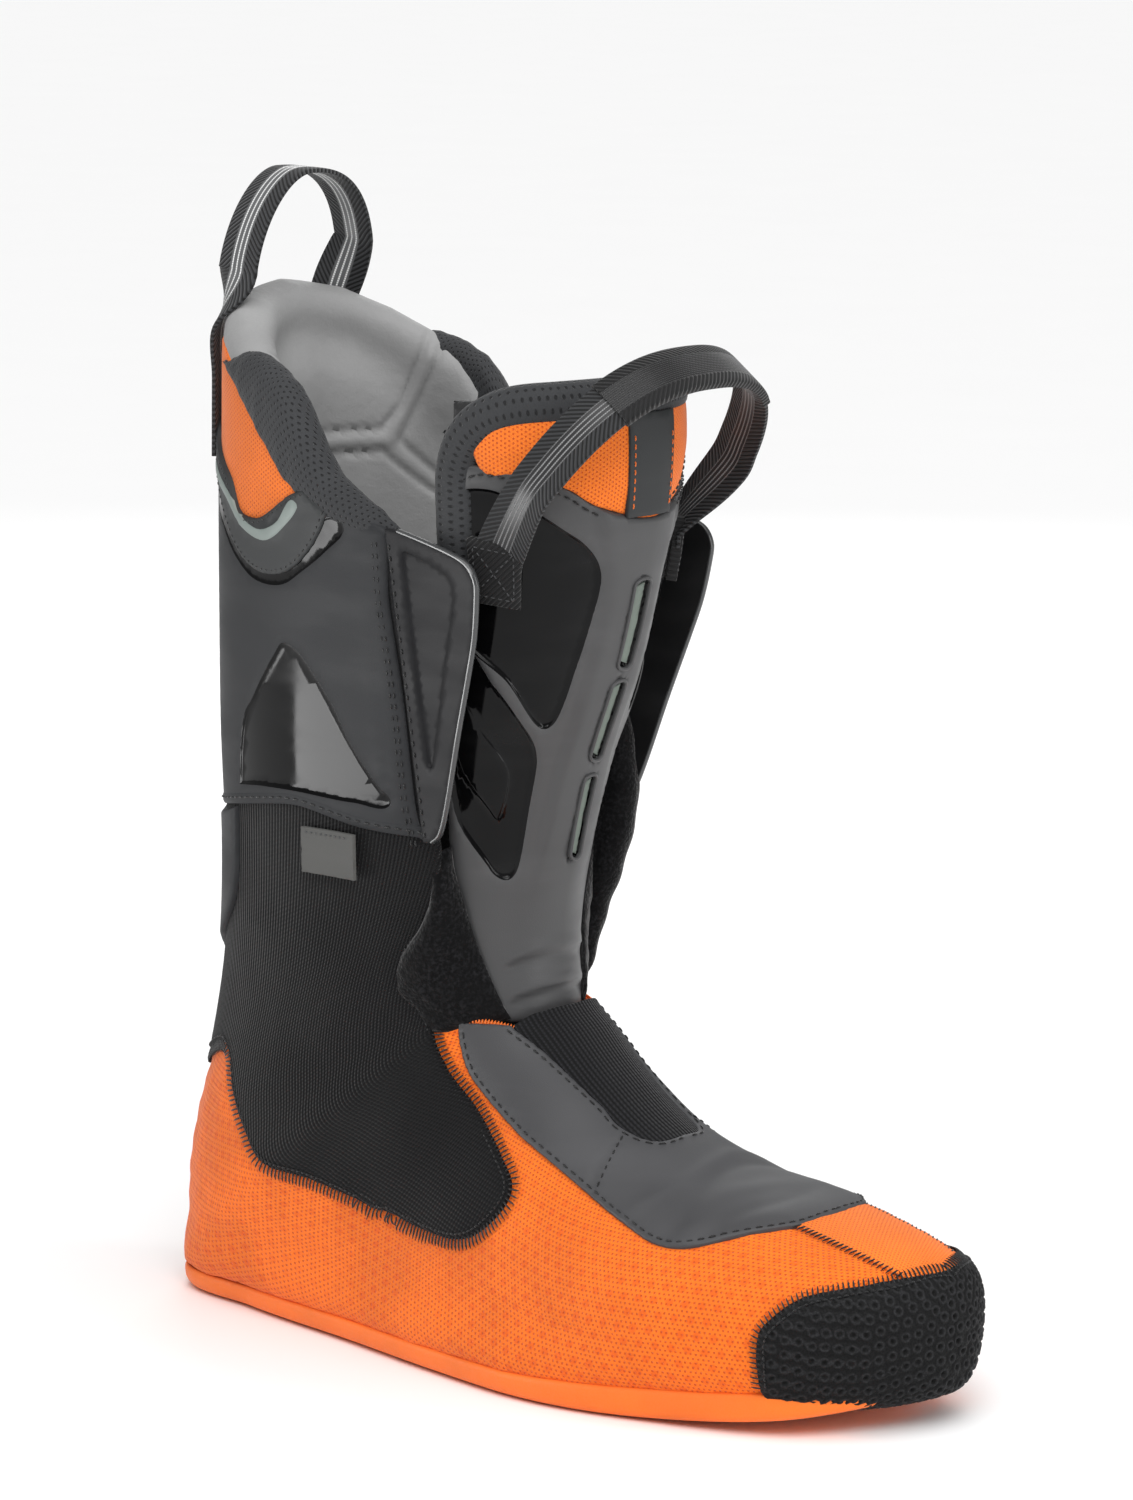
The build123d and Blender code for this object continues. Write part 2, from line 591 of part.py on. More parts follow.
# ---- tongue pull loop: an arch that leans forward over the top of the tongue --------------------
TONGUE_LOOP_BASE = Vector(15, 0, 252)
TONGUE_LOOP_APEX = Vector(56, 0, 307)
TONGUE_LOOP_HALF_WIDTH = 48.6
LOOP_START = 3
lean = TONGUE_LOOP_APEX - TONGUE_LOOP_BASE
loop_normal = Vector(0, 1, 0).cross(lean).normalized()
loop_origin = TONGUE_LOOP_BASE + lean.normalized() * LOOP_START
loop_height = lean.length - LOOP_START
loop_plane = Plane(origin=loop_origin - loop_normal * (WEBBING_WIDTH / 2), x_dir=(0, 1, 0),
                   z_dir=loop_normal)
loop_face = arch_face(loop_plane, TONGUE_LOOP_HALF_WIDTH, loop_height, WEBBING)
with BuildPart() as tongue_loop:
    extrude(loop_face, amount=WEBBING_WIDTH)
save(tongue_loop, "tongue_loop")

SLEEVE_WIDTH = WEBBING_WIDTH + 1
SLEEVE_THICKNESS = 0.8
SLEEVE_START = 58        # where the sleeve starts on each leg, degrees along the arch
sleeve_plane = Plane(origin=loop_origin - loop_normal * (SLEEVE_WIDTH / 2), x_dir=(0, 1, 0),
                     z_dir=loop_normal)
sleeve_outside = LAYER_GAP + SLEEVE_THICKNESS
sleeve_face = arch_face(sleeve_plane, TONGUE_LOOP_HALF_WIDTH + sleeve_outside,
                        loop_height + sleeve_outside, SLEEVE_THICKNESS, SLEEVE_START)
with BuildPart() as tongue_loop_sleeve:
    extrude(sleeve_face, amount=SLEEVE_WIDTH)
save(tongue_loop_sleeve, "tongue_loop_sleeve")
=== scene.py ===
"""Visual model of a removable ski boot liner: soft inner boot, right foot.

Work is in millimetres, and every mesh is scaled to metres as it is made. The boot's skin is a
surface with two coordinates: an angle round the boot in degrees (0 front, 90 outer side, 180
back, negative on the inner side) and a station number, from -1 at the toe tip to 21 at the top
of the cuff. The tongue's skin has an angle from its middle and a height.
"""

from math import ceil, cos, pi, radians, sin

import bmesh
import bpy
import numpy as np
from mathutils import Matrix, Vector
from mathutils.geometry import delaunay_2d_cdt
from mathutils.kdtree import KDTree


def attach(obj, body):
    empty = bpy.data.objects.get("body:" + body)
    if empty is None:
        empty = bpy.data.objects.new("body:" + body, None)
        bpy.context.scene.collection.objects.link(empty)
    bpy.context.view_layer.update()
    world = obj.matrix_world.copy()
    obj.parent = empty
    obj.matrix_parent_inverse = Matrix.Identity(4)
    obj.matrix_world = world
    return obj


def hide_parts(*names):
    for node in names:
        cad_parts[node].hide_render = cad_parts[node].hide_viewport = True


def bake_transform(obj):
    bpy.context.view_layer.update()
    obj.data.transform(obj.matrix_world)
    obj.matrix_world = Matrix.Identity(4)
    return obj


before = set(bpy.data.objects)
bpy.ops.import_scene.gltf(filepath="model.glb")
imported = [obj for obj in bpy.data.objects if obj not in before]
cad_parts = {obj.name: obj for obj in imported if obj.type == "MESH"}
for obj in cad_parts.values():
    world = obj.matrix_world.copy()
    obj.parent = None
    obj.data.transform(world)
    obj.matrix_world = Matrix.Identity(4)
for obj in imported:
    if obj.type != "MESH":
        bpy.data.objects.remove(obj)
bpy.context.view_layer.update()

MM = 0.001
SIDES = (("lateral", 1), ("medial", -1))
HEX_ROW = 0.866          # height of a triangular lattice's row, as a share of its pitch
STITCH_STEP = 0.5        # distance between the points of a seam, millimetres

# ---- the boot's skin -------------------------------------------------------------------------
# front x, z; back x, z; centre y; half widths outer, inner; place of the widest line; powers
STATIONS = np.array([
    (146.6, 29.5, 146.6, 28.5, 10, 0.3, 0.3, 0.5, 2, 2),
    (146.2, 34, 145.8, 25, 10, 3.6, 3.6, 0.5, 2, 2),
    (145.2, 39.5, 144.8, 18.4, 10, 10, 9, 0.5, 2.1, 2.2),
    (141.5, 46, 139.6, 15, 9.5, 20.5, 18, 0.5, 2.2, 2.4),
    (133.5, 50.5, 130.5, 12.8, 7.5, 31, 28, 0.55, 2.3, 3),
    (119, 55.5, 117, 11.4, 5, 40, 36, 0.6, 2.3, 3.6),
    (98, 60.5, 95, 10.2, 3, 47, 43, 0.64, 2.3, 4),
    (71, 66, 62, 9, 0, 51, 43, 0.66, 2.2, 4.5),
    (48.5, 76, 25, 8.8, -2, 48, 38, 0.68, 2.2, 4.5),
    (30, 90, -15, 8.8, -3, 43, 36, 0.66, 2.3, 4.5),
    (16, 102, -60, 8.8, -2, 38, 36, 0.62, 2.4, 4.2),
    (8, 111, -105, 8.8, -2, 37, 36, 0.55, 2.4, 3.2),
    (4, 120, -137, 10, -1, 38, 37, 0.5, 2.3, 2.5),
    (3, 131, -143, 30, 0, 40, 39, 0.47, 2.3, 2.2),
    (4, 143, -139, 54, 0, 41, 40, 0.45, 2.3, 2.1),
    (7, 156, -130, 80, 0, 42, 41, 0.45, 2.3, 2.1),
    (11, 170, -122, 112, 0, 43.5, 43, 0.46, 2.3, 2.2),
    (17, 186, -118.5, 146, 0, 45, 45, 0.48, 2.3, 2.3),
    (25, 208, -118, 184, 0, 47, 47, 0.5, 2.3, 2.4),
    (33, 236, -117.5, 226, 0, 49, 49, 0.5, 2.3, 2.4),
    (38, 264, -117, 266, 0, 50, 50, 0.5, 2.3, 2.4),
    (41, 292, -116, 300, 0, 51, 51, 0.5, 2.3, 2.4),
    (43, 315, -115, 328, 0, 51, 51, 0.5, 2.3, 2.4),
], float)
LAST_STATION = len(STATIONS) - 2
GIRTH_SCALE = 130.0      # chart units for half of the way round the boot
STATION_SCALE = 27.0     # chart units for one station

# ---- the tongue's skin: z; front x; half width; depth from front to side edges
TONGUE_LEVELS = np.array([
    (100, 3.5, 25.5, 22.5),
    (106, 3.5, 26, 23),
    (128, 3, 27.5, 24.5),
    (152, 6.5, 30, 26.5),
    (184, 14.5, 36, 30.5),
    (214, 26, 41.5, 36),
    (240, 33.5, 45, 41),
    (262, 37.5, 47, 45),
    (282, 39, 48, 47),
    (302, 38, 47.5, 46),
], float)
OUTER_POWER, INNER_POWER = 2.35, 1.7      # roundness of the tongue on each side
TONGUE_SCALE = 75.0      # chart units for a quarter turn of the tongue


def catmull(rows, place):
    """Smooth interpolation between the rows of a table at fractional places."""
    place = np.clip(np.asarray(place, float), 0, len(rows) - 1)
    low = np.minimum(place.astype(int), len(rows) - 2)
    s = (place - low)[..., None]
    p1, p2 = rows[low], rows[low + 1]
    p0 = np.where((low > 0)[..., None], rows[np.maximum(low - 1, 0)], 2 * p1 - p2)
    last = len(rows) - 1
    p3 = np.where((low < last - 1)[..., None], rows[np.minimum(low + 2, last)], 2 * p2 - p1)
    turn = 2 * p0 - 5 * p1 + 4 * p2 - p3
    return 0.5 * (2 * p1 + (p2 - p0) * s + turn * s ** 2 + (3 * p1 - 3 * p2 + p3 - p0) * s ** 3)


def signed_power(x, power):
    return np.sign(x) * np.abs(x) ** (2 / power)


def body_point(angle, station, off=0.0):
    """Points of the boot's skin. Angle in degrees, off outward in millimetres."""
    angle, station = np.broadcast_arrays(np.asarray(angle, float), np.asarray(station, float))
    row = catmull(STATIONS, station + 1)
    fx, fz, bx, bz, centre, outer, inner, widest, power_f, power_b = np.moveaxis(row, -1, 0)
    length = np.hypot(bx - fx, bz - fz)
    c, s = np.cos(np.radians(angle)), np.sin(np.radians(angle))
    c = np.where(np.abs(c) < 1e-9, 0, c)
    s = np.where(np.abs(s) < 1e-9, 0, s)
    power = np.where(c > 0, power_f, power_b)
    half = np.where(c > 0, widest, 1 - widest) * length + off
    along = widest * length - signed_power(c, power) * half
    y = centre - signed_power(s, power) * (np.where(s > 0, outer, inner) + off)
    x, z = fx + (bx - fx) / length * along, fz + (bz - fz) / length * along
    return settled(x, y, z, centre)


def settled(x, y, z, centre):
    """The foot's weight squares the lower edge of the skin against the sole."""
    low = smoothstep((26 - z + sole_bottom(x)) / 18)
    wide = 1 + (0.2 * low + 0.07 * low ** 4) * smoothstep((80 - x) / 60)
    heel = 4.0 * low * smoothstep((-115 - x) / 22)
    return np.stack([x - heel, centre + (y - centre) * wide, z - 5.2 * low], -1)


def sole_bottom(x):
    """Height of the sole's underside, lifted at the toe."""
    return 11 * np.clip((x - 52) / 98, 0, None) ** 1.9


def smoothstep(x):
    x = np.clip(x, 0, 1)
    return x * x * (3 - 2 * x)


def arc_length(points):
    """Distance along a line of points, from 0 at its first one."""
    steps = np.linalg.norm(np.diff(points, axis=0), axis=1)
    return np.concatenate([[0], np.cumsum(steps)])


def tree_of(points):
    """A search tree of 3-D points, each with its place in the list."""
    tree = KDTree(len(points))
    for k, p in enumerate(points):
        tree.insert(p, k)
    tree.balance()
    return tree


GIRTH_STATIONS = np.linspace(-1, LAST_STATION, 20 * (LAST_STATION + 1) + 1)
GIRTH_ANGLES = np.linspace(0, 180, 721)
SHARES = np.linspace(0, 1, 361)


def girth_tables(side):
    """How far round the boot each angle lies, as a share of the half girth, and its inverse."""
    grid = body_point(side * GIRTH_ANGLES[None, :], GIRTH_STATIONS[:, None])
    steps = np.linalg.norm(np.diff(grid, axis=1), axis=-1)
    arc = np.concatenate([np.zeros((len(grid), 1)), np.cumsum(steps, axis=1)], axis=1)
    girth = arc[:, -1].copy()
    share = arc / girth[:, None]
    inverse = np.array([np.interp(SHARES, row, GIRTH_ANGLES) for row in share])
    return share, inverse, girth


GIRTHS = {side: girth_tables(side) for _, side in SIDES}


def bilinear(table, x, y):
    """Value of a table at fractional columns x and rows y."""
    x = np.clip(x, 0, table.shape[1] - 1.000001)
    y = np.clip(y, 0, table.shape[0] - 1.000001)
    i, j = x.astype(int), y.astype(int)
    s, t = x - i, y - j
    top = table[j, i] * (1 - s) + table[j, i + 1] * s
    low = table[j + 1, i] * (1 - s) + table[j + 1, i + 1] * s
    return top * (1 - t) + low * t


def fold_angle(angle):
    """Angle from 0 to 180 and the side it is on, for any angle up to a full turn."""
    wrapped = (np.asarray(angle, float) + 180) % 360 - 180
    wrapped = np.where(np.asarray(angle, float) == 180, 180, wrapped)
    return np.abs(wrapped), np.where(wrapped < 0, -1, 1)


def station_row(station):
    return (np.asarray(station, float) + 1) * 20


def share_of(angle, station):
    """Share of the half girth for an angle: 0 front, 1 back. Beyond the back it passes 1."""
    folded, side = fold_angle(angle)
    column = folded * 4
    outer = bilinear(GIRTHS[1][0], column, station_row(station))
    inner = bilinear(GIRTHS[-1][0], column, station_row(station))
    share = np.where(side > 0, outer, inner)
    angle = np.asarray(angle, float)
    return np.where(angle > 180, 2 - share, np.where(angle < -180, share - 2, side * share))


def angle_of(share, station):
    """The inverse of share_of."""
    share = np.asarray(share, float)
    wrapped = np.where(share > 1, share - 2, np.where(share < -1, share + 2, share))
    column = np.abs(wrapped) * 360
    outer = bilinear(GIRTHS[1][1], column, station_row(station))
    inner = -bilinear(GIRTHS[-1][1], column, station_row(station))
    return np.where(wrapped >= 0, outer, inner)


class Chart:
    """A surface that a flat drawing is laid on. Drawings are in chart units, near millimetres."""

    def chart(self, places):
        """Chart coordinates of a list of (angle, station or height)."""
        raise NotImplementedError

    def point(self, xy):
        raise NotImplementedError

    def texture(self, xy):
        """Millimetres round and along the surface, for patterns."""
        raise NotImplementedError

    def frame_at(self, xy):
        """Point, outward normal and the two tangents at chart coordinates."""
        step = 0.2
        point = self.point(xy)
        right = self.point(xy + (step, 0)) - self.point(xy - (step, 0))
        up = self.point(xy + (0, step)) - self.point(xy - (0, step))
        normal = np.cross(right, up) * self.handed
        normal /= np.maximum(np.linalg.norm(normal, axis=1), 1e-9)[:, None]
        return point, normal, right / (2 * step), up / (2 * step)


class BodyChart(Chart):
    """The boot's skin, or a surface a depth below it. side mirrors the drawing."""

    def __init__(self, side=1, depth=0.0, middle=0.5):
        self.side, self.depth, self.middle = side, depth, middle
        self.handed = -side
        self.heights = arc_length(body_point(90 * side, GIRTH_STATIONS))

    def chart(self, places):
        places = np.asarray(places, float)
        share = share_of(places[:, 0] * self.side, places[:, 1]) * self.side
        return np.stack([share * GIRTH_SCALE, places[:, 1] * STATION_SCALE], -1)

    def point(self, xy):
        station = xy[:, 1] / STATION_SCALE
        angle = angle_of(xy[:, 0] / GIRTH_SCALE * self.side, station)
        return body_point(angle, station, -self.depth)

    def texture(self, xy):
        station = xy[:, 1] / STATION_SCALE
        girth = np.interp(station_row(station), np.arange(len(GIRTH_STATIONS)), GIRTHS[1][2])
        across = (xy[:, 0] / GIRTH_SCALE - self.middle) * girth
        along = np.interp(station_row(station), np.arange(len(GIRTH_STATIONS)), self.heights)
        return np.stack([across, along], -1)


class ToeChart(Chart):
    """The boot's skin round the toe tip, drawn as a disc with the tip at its centre."""
    handed = 1

    def chart(self, places):
        places = np.asarray(places, float)
        turn = share_of(places[:, 0], places[:, 1]) * pi
        radius = (places[:, 1] + 1) * STATION_SCALE / 2
        return np.stack([radius * np.cos(turn), radius * np.sin(turn)], -1)

    def point(self, xy):
        station = np.hypot(xy[:, 0], xy[:, 1]) / (STATION_SCALE / 2) - 1
        share = np.arctan2(xy[:, 1], xy[:, 0]) / pi
        return body_point(angle_of(share, station), station)

    def texture(self, xy):
        station = np.hypot(xy[:, 0], xy[:, 1]) / (STATION_SCALE / 2) - 1
        girth = np.interp(station_row(station), np.arange(len(GIRTH_STATIONS)), GIRTHS[1][2])
        return np.stack([np.arctan2(xy[:, 1], xy[:, 0]) / pi * girth, 12 * station], -1)


class TongueChart(Chart):
    """The tongue's skin. Places are (angle, height)."""

    def __init__(self, side=1):
        self.side = side
        self.handed = -side
        angles = np.linspace(-90, 90, 361)
        arc = arc_length(tongue_point(angles, 240.0))
        self.angles, self.shares = angles, arc / arc[-1] * 2 - 1

    def chart(self, places):
        places = np.asarray(places, float)
        share = np.interp(places[:, 0], self.angles, self.shares)
        return np.stack([share * TONGUE_SCALE, places[:, 1]], -1)

    def point(self, xy):
        angle = np.interp(xy[:, 0] / TONGUE_SCALE * self.side, self.shares, self.angles)
        return tongue_point(angle, xy[:, 1])

    def texture(self, xy):
        return xy.copy()


def tongue_point(angle, z):
    """Points of the tongue's skin at an angle from its middle, positive on the outer side."""
    angle, z = np.broadcast_arrays(np.asarray(angle, float), np.asarray(z, float))
    place = np.interp(z, TONGUE_LEVELS[:, 0], np.arange(len(TONGUE_LEVELS)))
    _, front, half, depth = np.moveaxis(catmull(TONGUE_LEVELS, place), -1, 0)
    c, s = np.cos(np.radians(angle)), np.sin(np.radians(angle))
    power = np.where(s > 0, OUTER_POWER, INNER_POWER)
    x = front - depth + np.abs(c) ** (2 / power) * depth
    return np.stack([x, -signed_power(s, power) * half, z + 0 * x], -1)


class PlaneChart(Chart):
    """A flat drawing board, with an optional curl about its second axis."""
    handed = 1

    def __init__(self, origin, right, up, curl=0.0):
        self.origin, self.right = np.asarray(origin, float), unit(right)
        self.up = unit(up)
        self.out = np.cross(self.right, self.up)
        self.curl = curl

    def chart(self, places):
        return np.asarray(places, float)

    def point(self, xy):
        lift = self.curl * xy[:, 0] ** 2
        return (self.origin + xy[:, :1] * self.right + xy[:, 1:] * self.up
                + lift[:, None] * self.out)

    def texture(self, xy):
        return xy.copy()


# ---- flat drawing tools ----------------------------------------------------------------------
def unit(v):
    v = np.asarray(v, float)
    return v / np.maximum(np.linalg.norm(v, axis=-1, keepdims=True), 1e-12)


def smooth_path(points, closed=False, step=1.2):
    """A dense smooth line through points. A point given twice running is a sharp corner."""
    points = np.asarray(points, float)
    count = len(points)
    line = []
    spans = count if closed else count - 1
    for k in range(spans):
        p1, p2 = points[k], points[(k + 1) % count]
        gap = np.linalg.norm(p2 - p1)
        if gap < 1e-9:
            continue
        p0 = points[(k - 1) % count] if closed or k > 0 else 2 * p1 - p2
        p3 = points[(k + 2) % count] if closed or k + 2 < count else 2 * p2 - p1
        limit = gap / np.maximum(np.linalg.norm(p2 - p0), 1e-9)
        m1 = (p2 - p0) * min(1.0, limit)
        limit = gap / np.maximum(np.linalg.norm(p3 - p1), 1e-9)
        m2 = (p3 - p1) * min(1.0, limit)
        m1 = 0 * m1 if np.allclose(p0, p1) else m1
        m2 = 0 * m2 if np.allclose(p3, p2) else m2
        s = np.linspace(0, 1, max(2, ceil(gap / step)), endpoint=False)[:, None]
        line.append((2 * s ** 3 - 3 * s ** 2 + 1) * p1 + (s ** 3 - 2 * s ** 2 + s) * m1
                    + (3 * s ** 2 - 2 * s ** 3) * p2 + (s ** 3 - s ** 2) * m2)
    if not closed:
        line.append(points[-1:])
    return np.concatenate(line)


def resample(points, step, closed=False):
    """Evenly spaced points along a line of any dimension."""
    if closed:
        points = np.concatenate([points, points[:1]])
    arc = arc_length(points)
    count = max(2, round(arc[-1] / step))
    at = np.linspace(0, arc[-1], count + 1)
    out = np.stack([np.interp(at, arc, points[:, k]) for k in range(points.shape[1])], -1)
    return out[:-1] if closed else out


def inside(points, polygon):
    """Which points lie in a polygon."""
    x, y = points[:, 0][:, None], points[:, 1][:, None]
    x0, y0 = polygon[:, 0][None, :], polygon[:, 1][None, :]
    x1, y1 = np.roll(polygon[:, 0], -1)[None, :], np.roll(polygon[:, 1], -1)[None, :]
    crosses = (y0 > y) != (y1 > y)
    with np.errstate(divide="ignore", invalid="ignore"):
        at = (x1 - x0) * (y - y0) / (y1 - y0) + x0
    return (np.sum(crosses & (x < at), axis=1) % 2).astype(bool)


def distance_to(points, line, closed=True):
    """Distance from each 3-D point to a line of 3-D points."""
    tree = tree_of(resample(line, 0.5, closed))
    return np.array([tree.find(p)[2] for p in points])


def inner_ring(chart, outline, distance):
    """The outline moved inward on the surface by a distance in millimetres."""
    point, normal, right, up = chart.frame_at(outline)
    tangent = unit(np.roll(point, -1, axis=0) - np.roll(point, 1, axis=0))
    inward = np.cross(normal, tangent)
    area = np.sum(outline[:, 0] * np.roll(outline[:, 1], -1)
                  - np.roll(outline[:, 0], -1) * outline[:, 1])
    inward *= np.sign(area) * chart.handed
    steps = []
    for k in range(len(outline)):
        jacobian = np.stack([right[k], up[k]], -1)
        steps.append(np.linalg.lstsq(jacobian, inward[k] * distance, rcond=None)[0])
    return outline + np.array(steps)


# ---- meshes ----------------------------------------------------------------------------------
MATERIALS = {}


def make_object(name, verts, faces, materials, face_material=None, texture=None, sharp=40):
    """A mesh object from points in millimetres, smooth shaded, with a pattern map in mm."""
    mesh = bpy.data.meshes.new(name)
    mesh.from_pydata((np.asarray(verts) * MM).tolist(), [], [list(f) for f in faces])
    for material in materials:
        mesh.materials.append(MATERIALS[material])
    if face_material is not None:
        mesh.polygons.foreach_set("material_index", np.asarray(face_material, np.int32))
    if texture is not None:
        layer = mesh.uv_layers.new(name="pattern")
        loops = np.zeros(len(mesh.loops), np.int32)
        mesh.loops.foreach_get("vertex_index", loops)
        layer.data.foreach_set("uv", np.asarray(texture, np.float32)[loops].ravel())
    mesh.polygons.foreach_set("use_smooth", np.ones(len(mesh.polygons), bool))
    mesh.update()
    mesh.set_sharp_from_angle(angle=radians(sharp))
    obj = bpy.data.objects.new(name, mesh)
    bpy.context.scene.collection.objects.link(obj)
    return obj


def finish_piece(obj, body, nodes=()):
    """Puts a piece on its CAD body and hides the CAD nodes it stands for."""
    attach(obj, body)
    if nodes:
        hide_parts(*nodes)
    return obj


def edge_height(distance, radius, drop):
    """How far a rounded edge falls below the panel's top at a distance from the edge."""
    share = np.clip(distance / radius, 0, 1)
    return -drop * (1 - np.sqrt(np.maximum(0, 1 - (1 - share) ** 2)))


def hex_grid(low, high, spacing):
    """Points of a triangular lattice in a rectangle."""
    rows = np.arange(low[1], high[1], spacing * HEX_ROW)
    columns = np.arange(low[0], high[0], spacing)
    x, y = np.meshgrid(columns, rows)
    x = x + (np.arange(len(rows)) % 2)[:, None] * spacing / 2
    return np.stack([x.ravel(), y.ravel()], -1)


def triangulate(outline, loops, loose):
    """Triangles of the region inside outline. loops are lines that triangles keep to."""
    points, edges = [], []
    for loop in [outline, *loops]:
        start = len(points)
        points.extend(loop.tolist())
        edges.extend((start + k, start + (k + 1) % len(loop)) for k in range(len(loop)))
    points.extend(loose.tolist())
    made = delaunay_2d_cdt([Vector(p) for p in points], edges, [], 0, 1e-5)
    flat = np.array([tuple(v) for v in made[0]])
    faces = np.array([f for f in made[2] if len(f) == 3])
    middle = flat[faces].mean(axis=1)
    faces = faces[inside(middle, outline)]
    used = np.unique(faces)
    renumber = np.full(len(flat), -1)
    renumber[used] = np.arange(len(used))
    return flat[used], renumber[faces]


def boundary_edges(faces):
    """Edges with a triangle on one side only, in that triangle's direction."""
    seen = {}
    for a, b, c in faces.tolist():
        for e in ((a, b), (b, c), (c, a)):
            seen[e] = True
    return [e for e in seen if (e[1], e[0]) not in seen]


class Zone:
    """Part of a panel with its own height and material."""

    def __init__(self, places, depth, bevel, material=0):
        self.places, self.depth, self.bevel, self.material = places, depth, bevel, material


def panel(name, chart, places, top, bottom, materials, edge=1.0, spacing=2.0, zones=(),
          relief=None, outline_step=1.2, under=0, pattern=None):
    """A closed padded or moulded panel laid on a chart.

    top and bottom are heights of its faces over the chart's surface. The edge is rounded over
    the width edge. relief(flat, point, distance) adds height, for ribs, wrinkles and bumps.
    under is the material of the lower face, and pattern(point) its pattern map if not the
    chart's.
    """
    outline = smooth_path(chart.chart(places), closed=True, step=outline_step)
    line = chart.point(outline)
    zone_lines = [smooth_path(chart.chart(z.places), closed=True, step=outline_step)
                  for z in zones]
    distances = (0.3 * edge, 0.8 * edge) if edge > 0.8 else (0.6 * edge,)
    loose = [inner_ring(chart, outline, d) for d in distances]
    for z, zone_line in zip(zones, zone_lines):
        loose.append(inner_ring(chart, zone_line, z.bevel * 0.5))
        loose.append(inner_ring(chart, zone_line, z.bevel))
    ring = np.concatenate(loose)
    ring_gap = distance_to(chart.point(ring), line)
    ring = ring[inside(ring, outline) & (ring_gap > 0.25 * edge)]
    grid = hex_grid(outline.min(0), outline.max(0), spacing)
    grid = grid[inside(grid, outline)]
    keep = distance_to(chart.point(grid), line) > 0.8 * edge + 0.35 * spacing
    grid = grid[keep]
    for z, zone_line in zip(zones, zone_lines):
        gap = distance_to(chart.point(grid), chart.point(zone_line))
        grid = grid[gap > 1.2 * spacing * 0.6]
    flat, faces = triangulate(outline, zone_lines, np.concatenate([ring, grid]))
    point, normal, _, _ = chart.frame_at(flat)
    gap = distance_to(point, line)
    height = top + edge_height(gap, edge, min(edge, top - bottom))
    for z, zone_line in zip(zones, zone_lines):
        within = inside(flat, zone_line)
        zone_gap = distance_to(point[within], chart.point(zone_line))
        height[within] += z.depth * smoothstep(zone_gap / z.bevel)
    if relief is not None:
        height = height + relief(flat, point, gap) * smoothstep(gap / max(edge, 1.0))
    upper = point + normal * height[:, None]
    lower = point + normal * bottom
    count = len(flat)
    a, b, c = flat[faces[:, 0]], flat[faces[:, 1]], flat[faces[:, 2]]
    area = (b[:, 0] - a[:, 0]) * (c[:, 1] - a[:, 1]) - (b[:, 1] - a[:, 1]) * (c[:, 0] - a[:, 0])
    turned = (area * chart.handed) < 0
    faces[turned] = faces[turned][:, ::-1]
    middle = flat[faces].mean(axis=1)
    index = np.zeros(len(faces), int)
    for z, zone_line in zip(zones, zone_lines):
        index[inside(middle, zone_line)] = z.material
    rim = boundary_edges(faces)
    walls = [(i, i + count, j + count, j) for i, j in rim]
    all_faces = faces.tolist() + (faces[:, ::-1] + count).tolist() + walls
    lower_index, wall_index = np.full(len(faces), under), np.zeros(len(walls), int)
    face_material = np.concatenate([index, lower_index, wall_index])
    texture = chart.texture(flat) if pattern is None else pattern(point)
    return make_object(name, np.concatenate([upper, lower]), all_faces, materials,
                       face_material, np.concatenate([texture, texture]), sharp=70)


def sweep_mesh(points, normals, profile, closed=False):
    """Rings of a profile along a line. The profile is (side, normal) offsets in millimetres,
    one for all points or one for each."""
    count = len(points)
    if closed:
        tangent = np.roll(points, -1, axis=0) - np.roll(points, 1, axis=0)
    else:
        tangent = np.gradient(points, axis=0)
    tangent = unit(tangent)
    side = unit(np.cross(tangent, normals))
    up = np.cross(side, tangent)
    profile = np.asarray(profile, float)
    if profile.ndim == 2:
        profile = np.broadcast_to(profile, (count, *profile.shape))
    size = profile.shape[1]
    verts = (points[:, None] + side[:, None] * profile[..., :1] + up[:, None] * profile[..., 1:])
    verts = verts.reshape(-1, 3)
    spans = count if closed else count - 1
    k, m = np.meshgrid(np.arange(spans), np.arange(size), indexing="ij")
    k2, m2 = (k + 1) % count, (m + 1) % size
    faces = np.stack([k * size + m, k * size + m2, k2 * size + m2, k2 * size + m], -1)
    faces = faces.reshape(-1, 4).tolist()
    if not closed:
        first, last = list(range(size))[::-1], [(count - 1) * size + m for m in range(size)]
        faces += [first, last]
    return verts, faces


def tube_faces(rows, size):
    """Quads of a tube of rings that follow each other, each of size points."""
    faces = []
    for r in range(rows - 1):
        for k in range(size):
            n = (k + 1) % size
            faces.append((r * size + k, r * size + n, (r + 1) * size + n, (r + 1) * size + k))
    return faces


def slab_faces(rows, columns):
    """Faces of a slab: a grid of points, the same grid again under it, and its rim."""
    count = rows * columns
    index = np.arange(count).reshape(rows, columns)
    faces = []
    for r in range(rows - 1):
        for k in range(columns - 1):
            a, b, c, d = index[r, k], index[r, k + 1], index[r + 1, k + 1], index[r + 1, k]
            faces += [(a, b, c, d), (d + count, c + count, b + count, a + count)]
    rim = np.concatenate([index[0, :-1], index[:-1, -1], index[-1, :0:-1], index[:0:-1, 0]])
    for i, j in zip(rim.tolist(), np.roll(rim, -1).tolist()):
        faces.append((i, i + count, j + count, j))
    return faces


def ring_profile(width, height, count=8, power=2.0):
    """A rounded cross-section, width across and height along the normal."""
    turn = np.linspace(0, 2 * pi, count, endpoint=False)
    side = signed_power(np.cos(turn), power) * width / 2
    return np.stack([side, signed_power(np.sin(turn), power) * height / 2], -1)


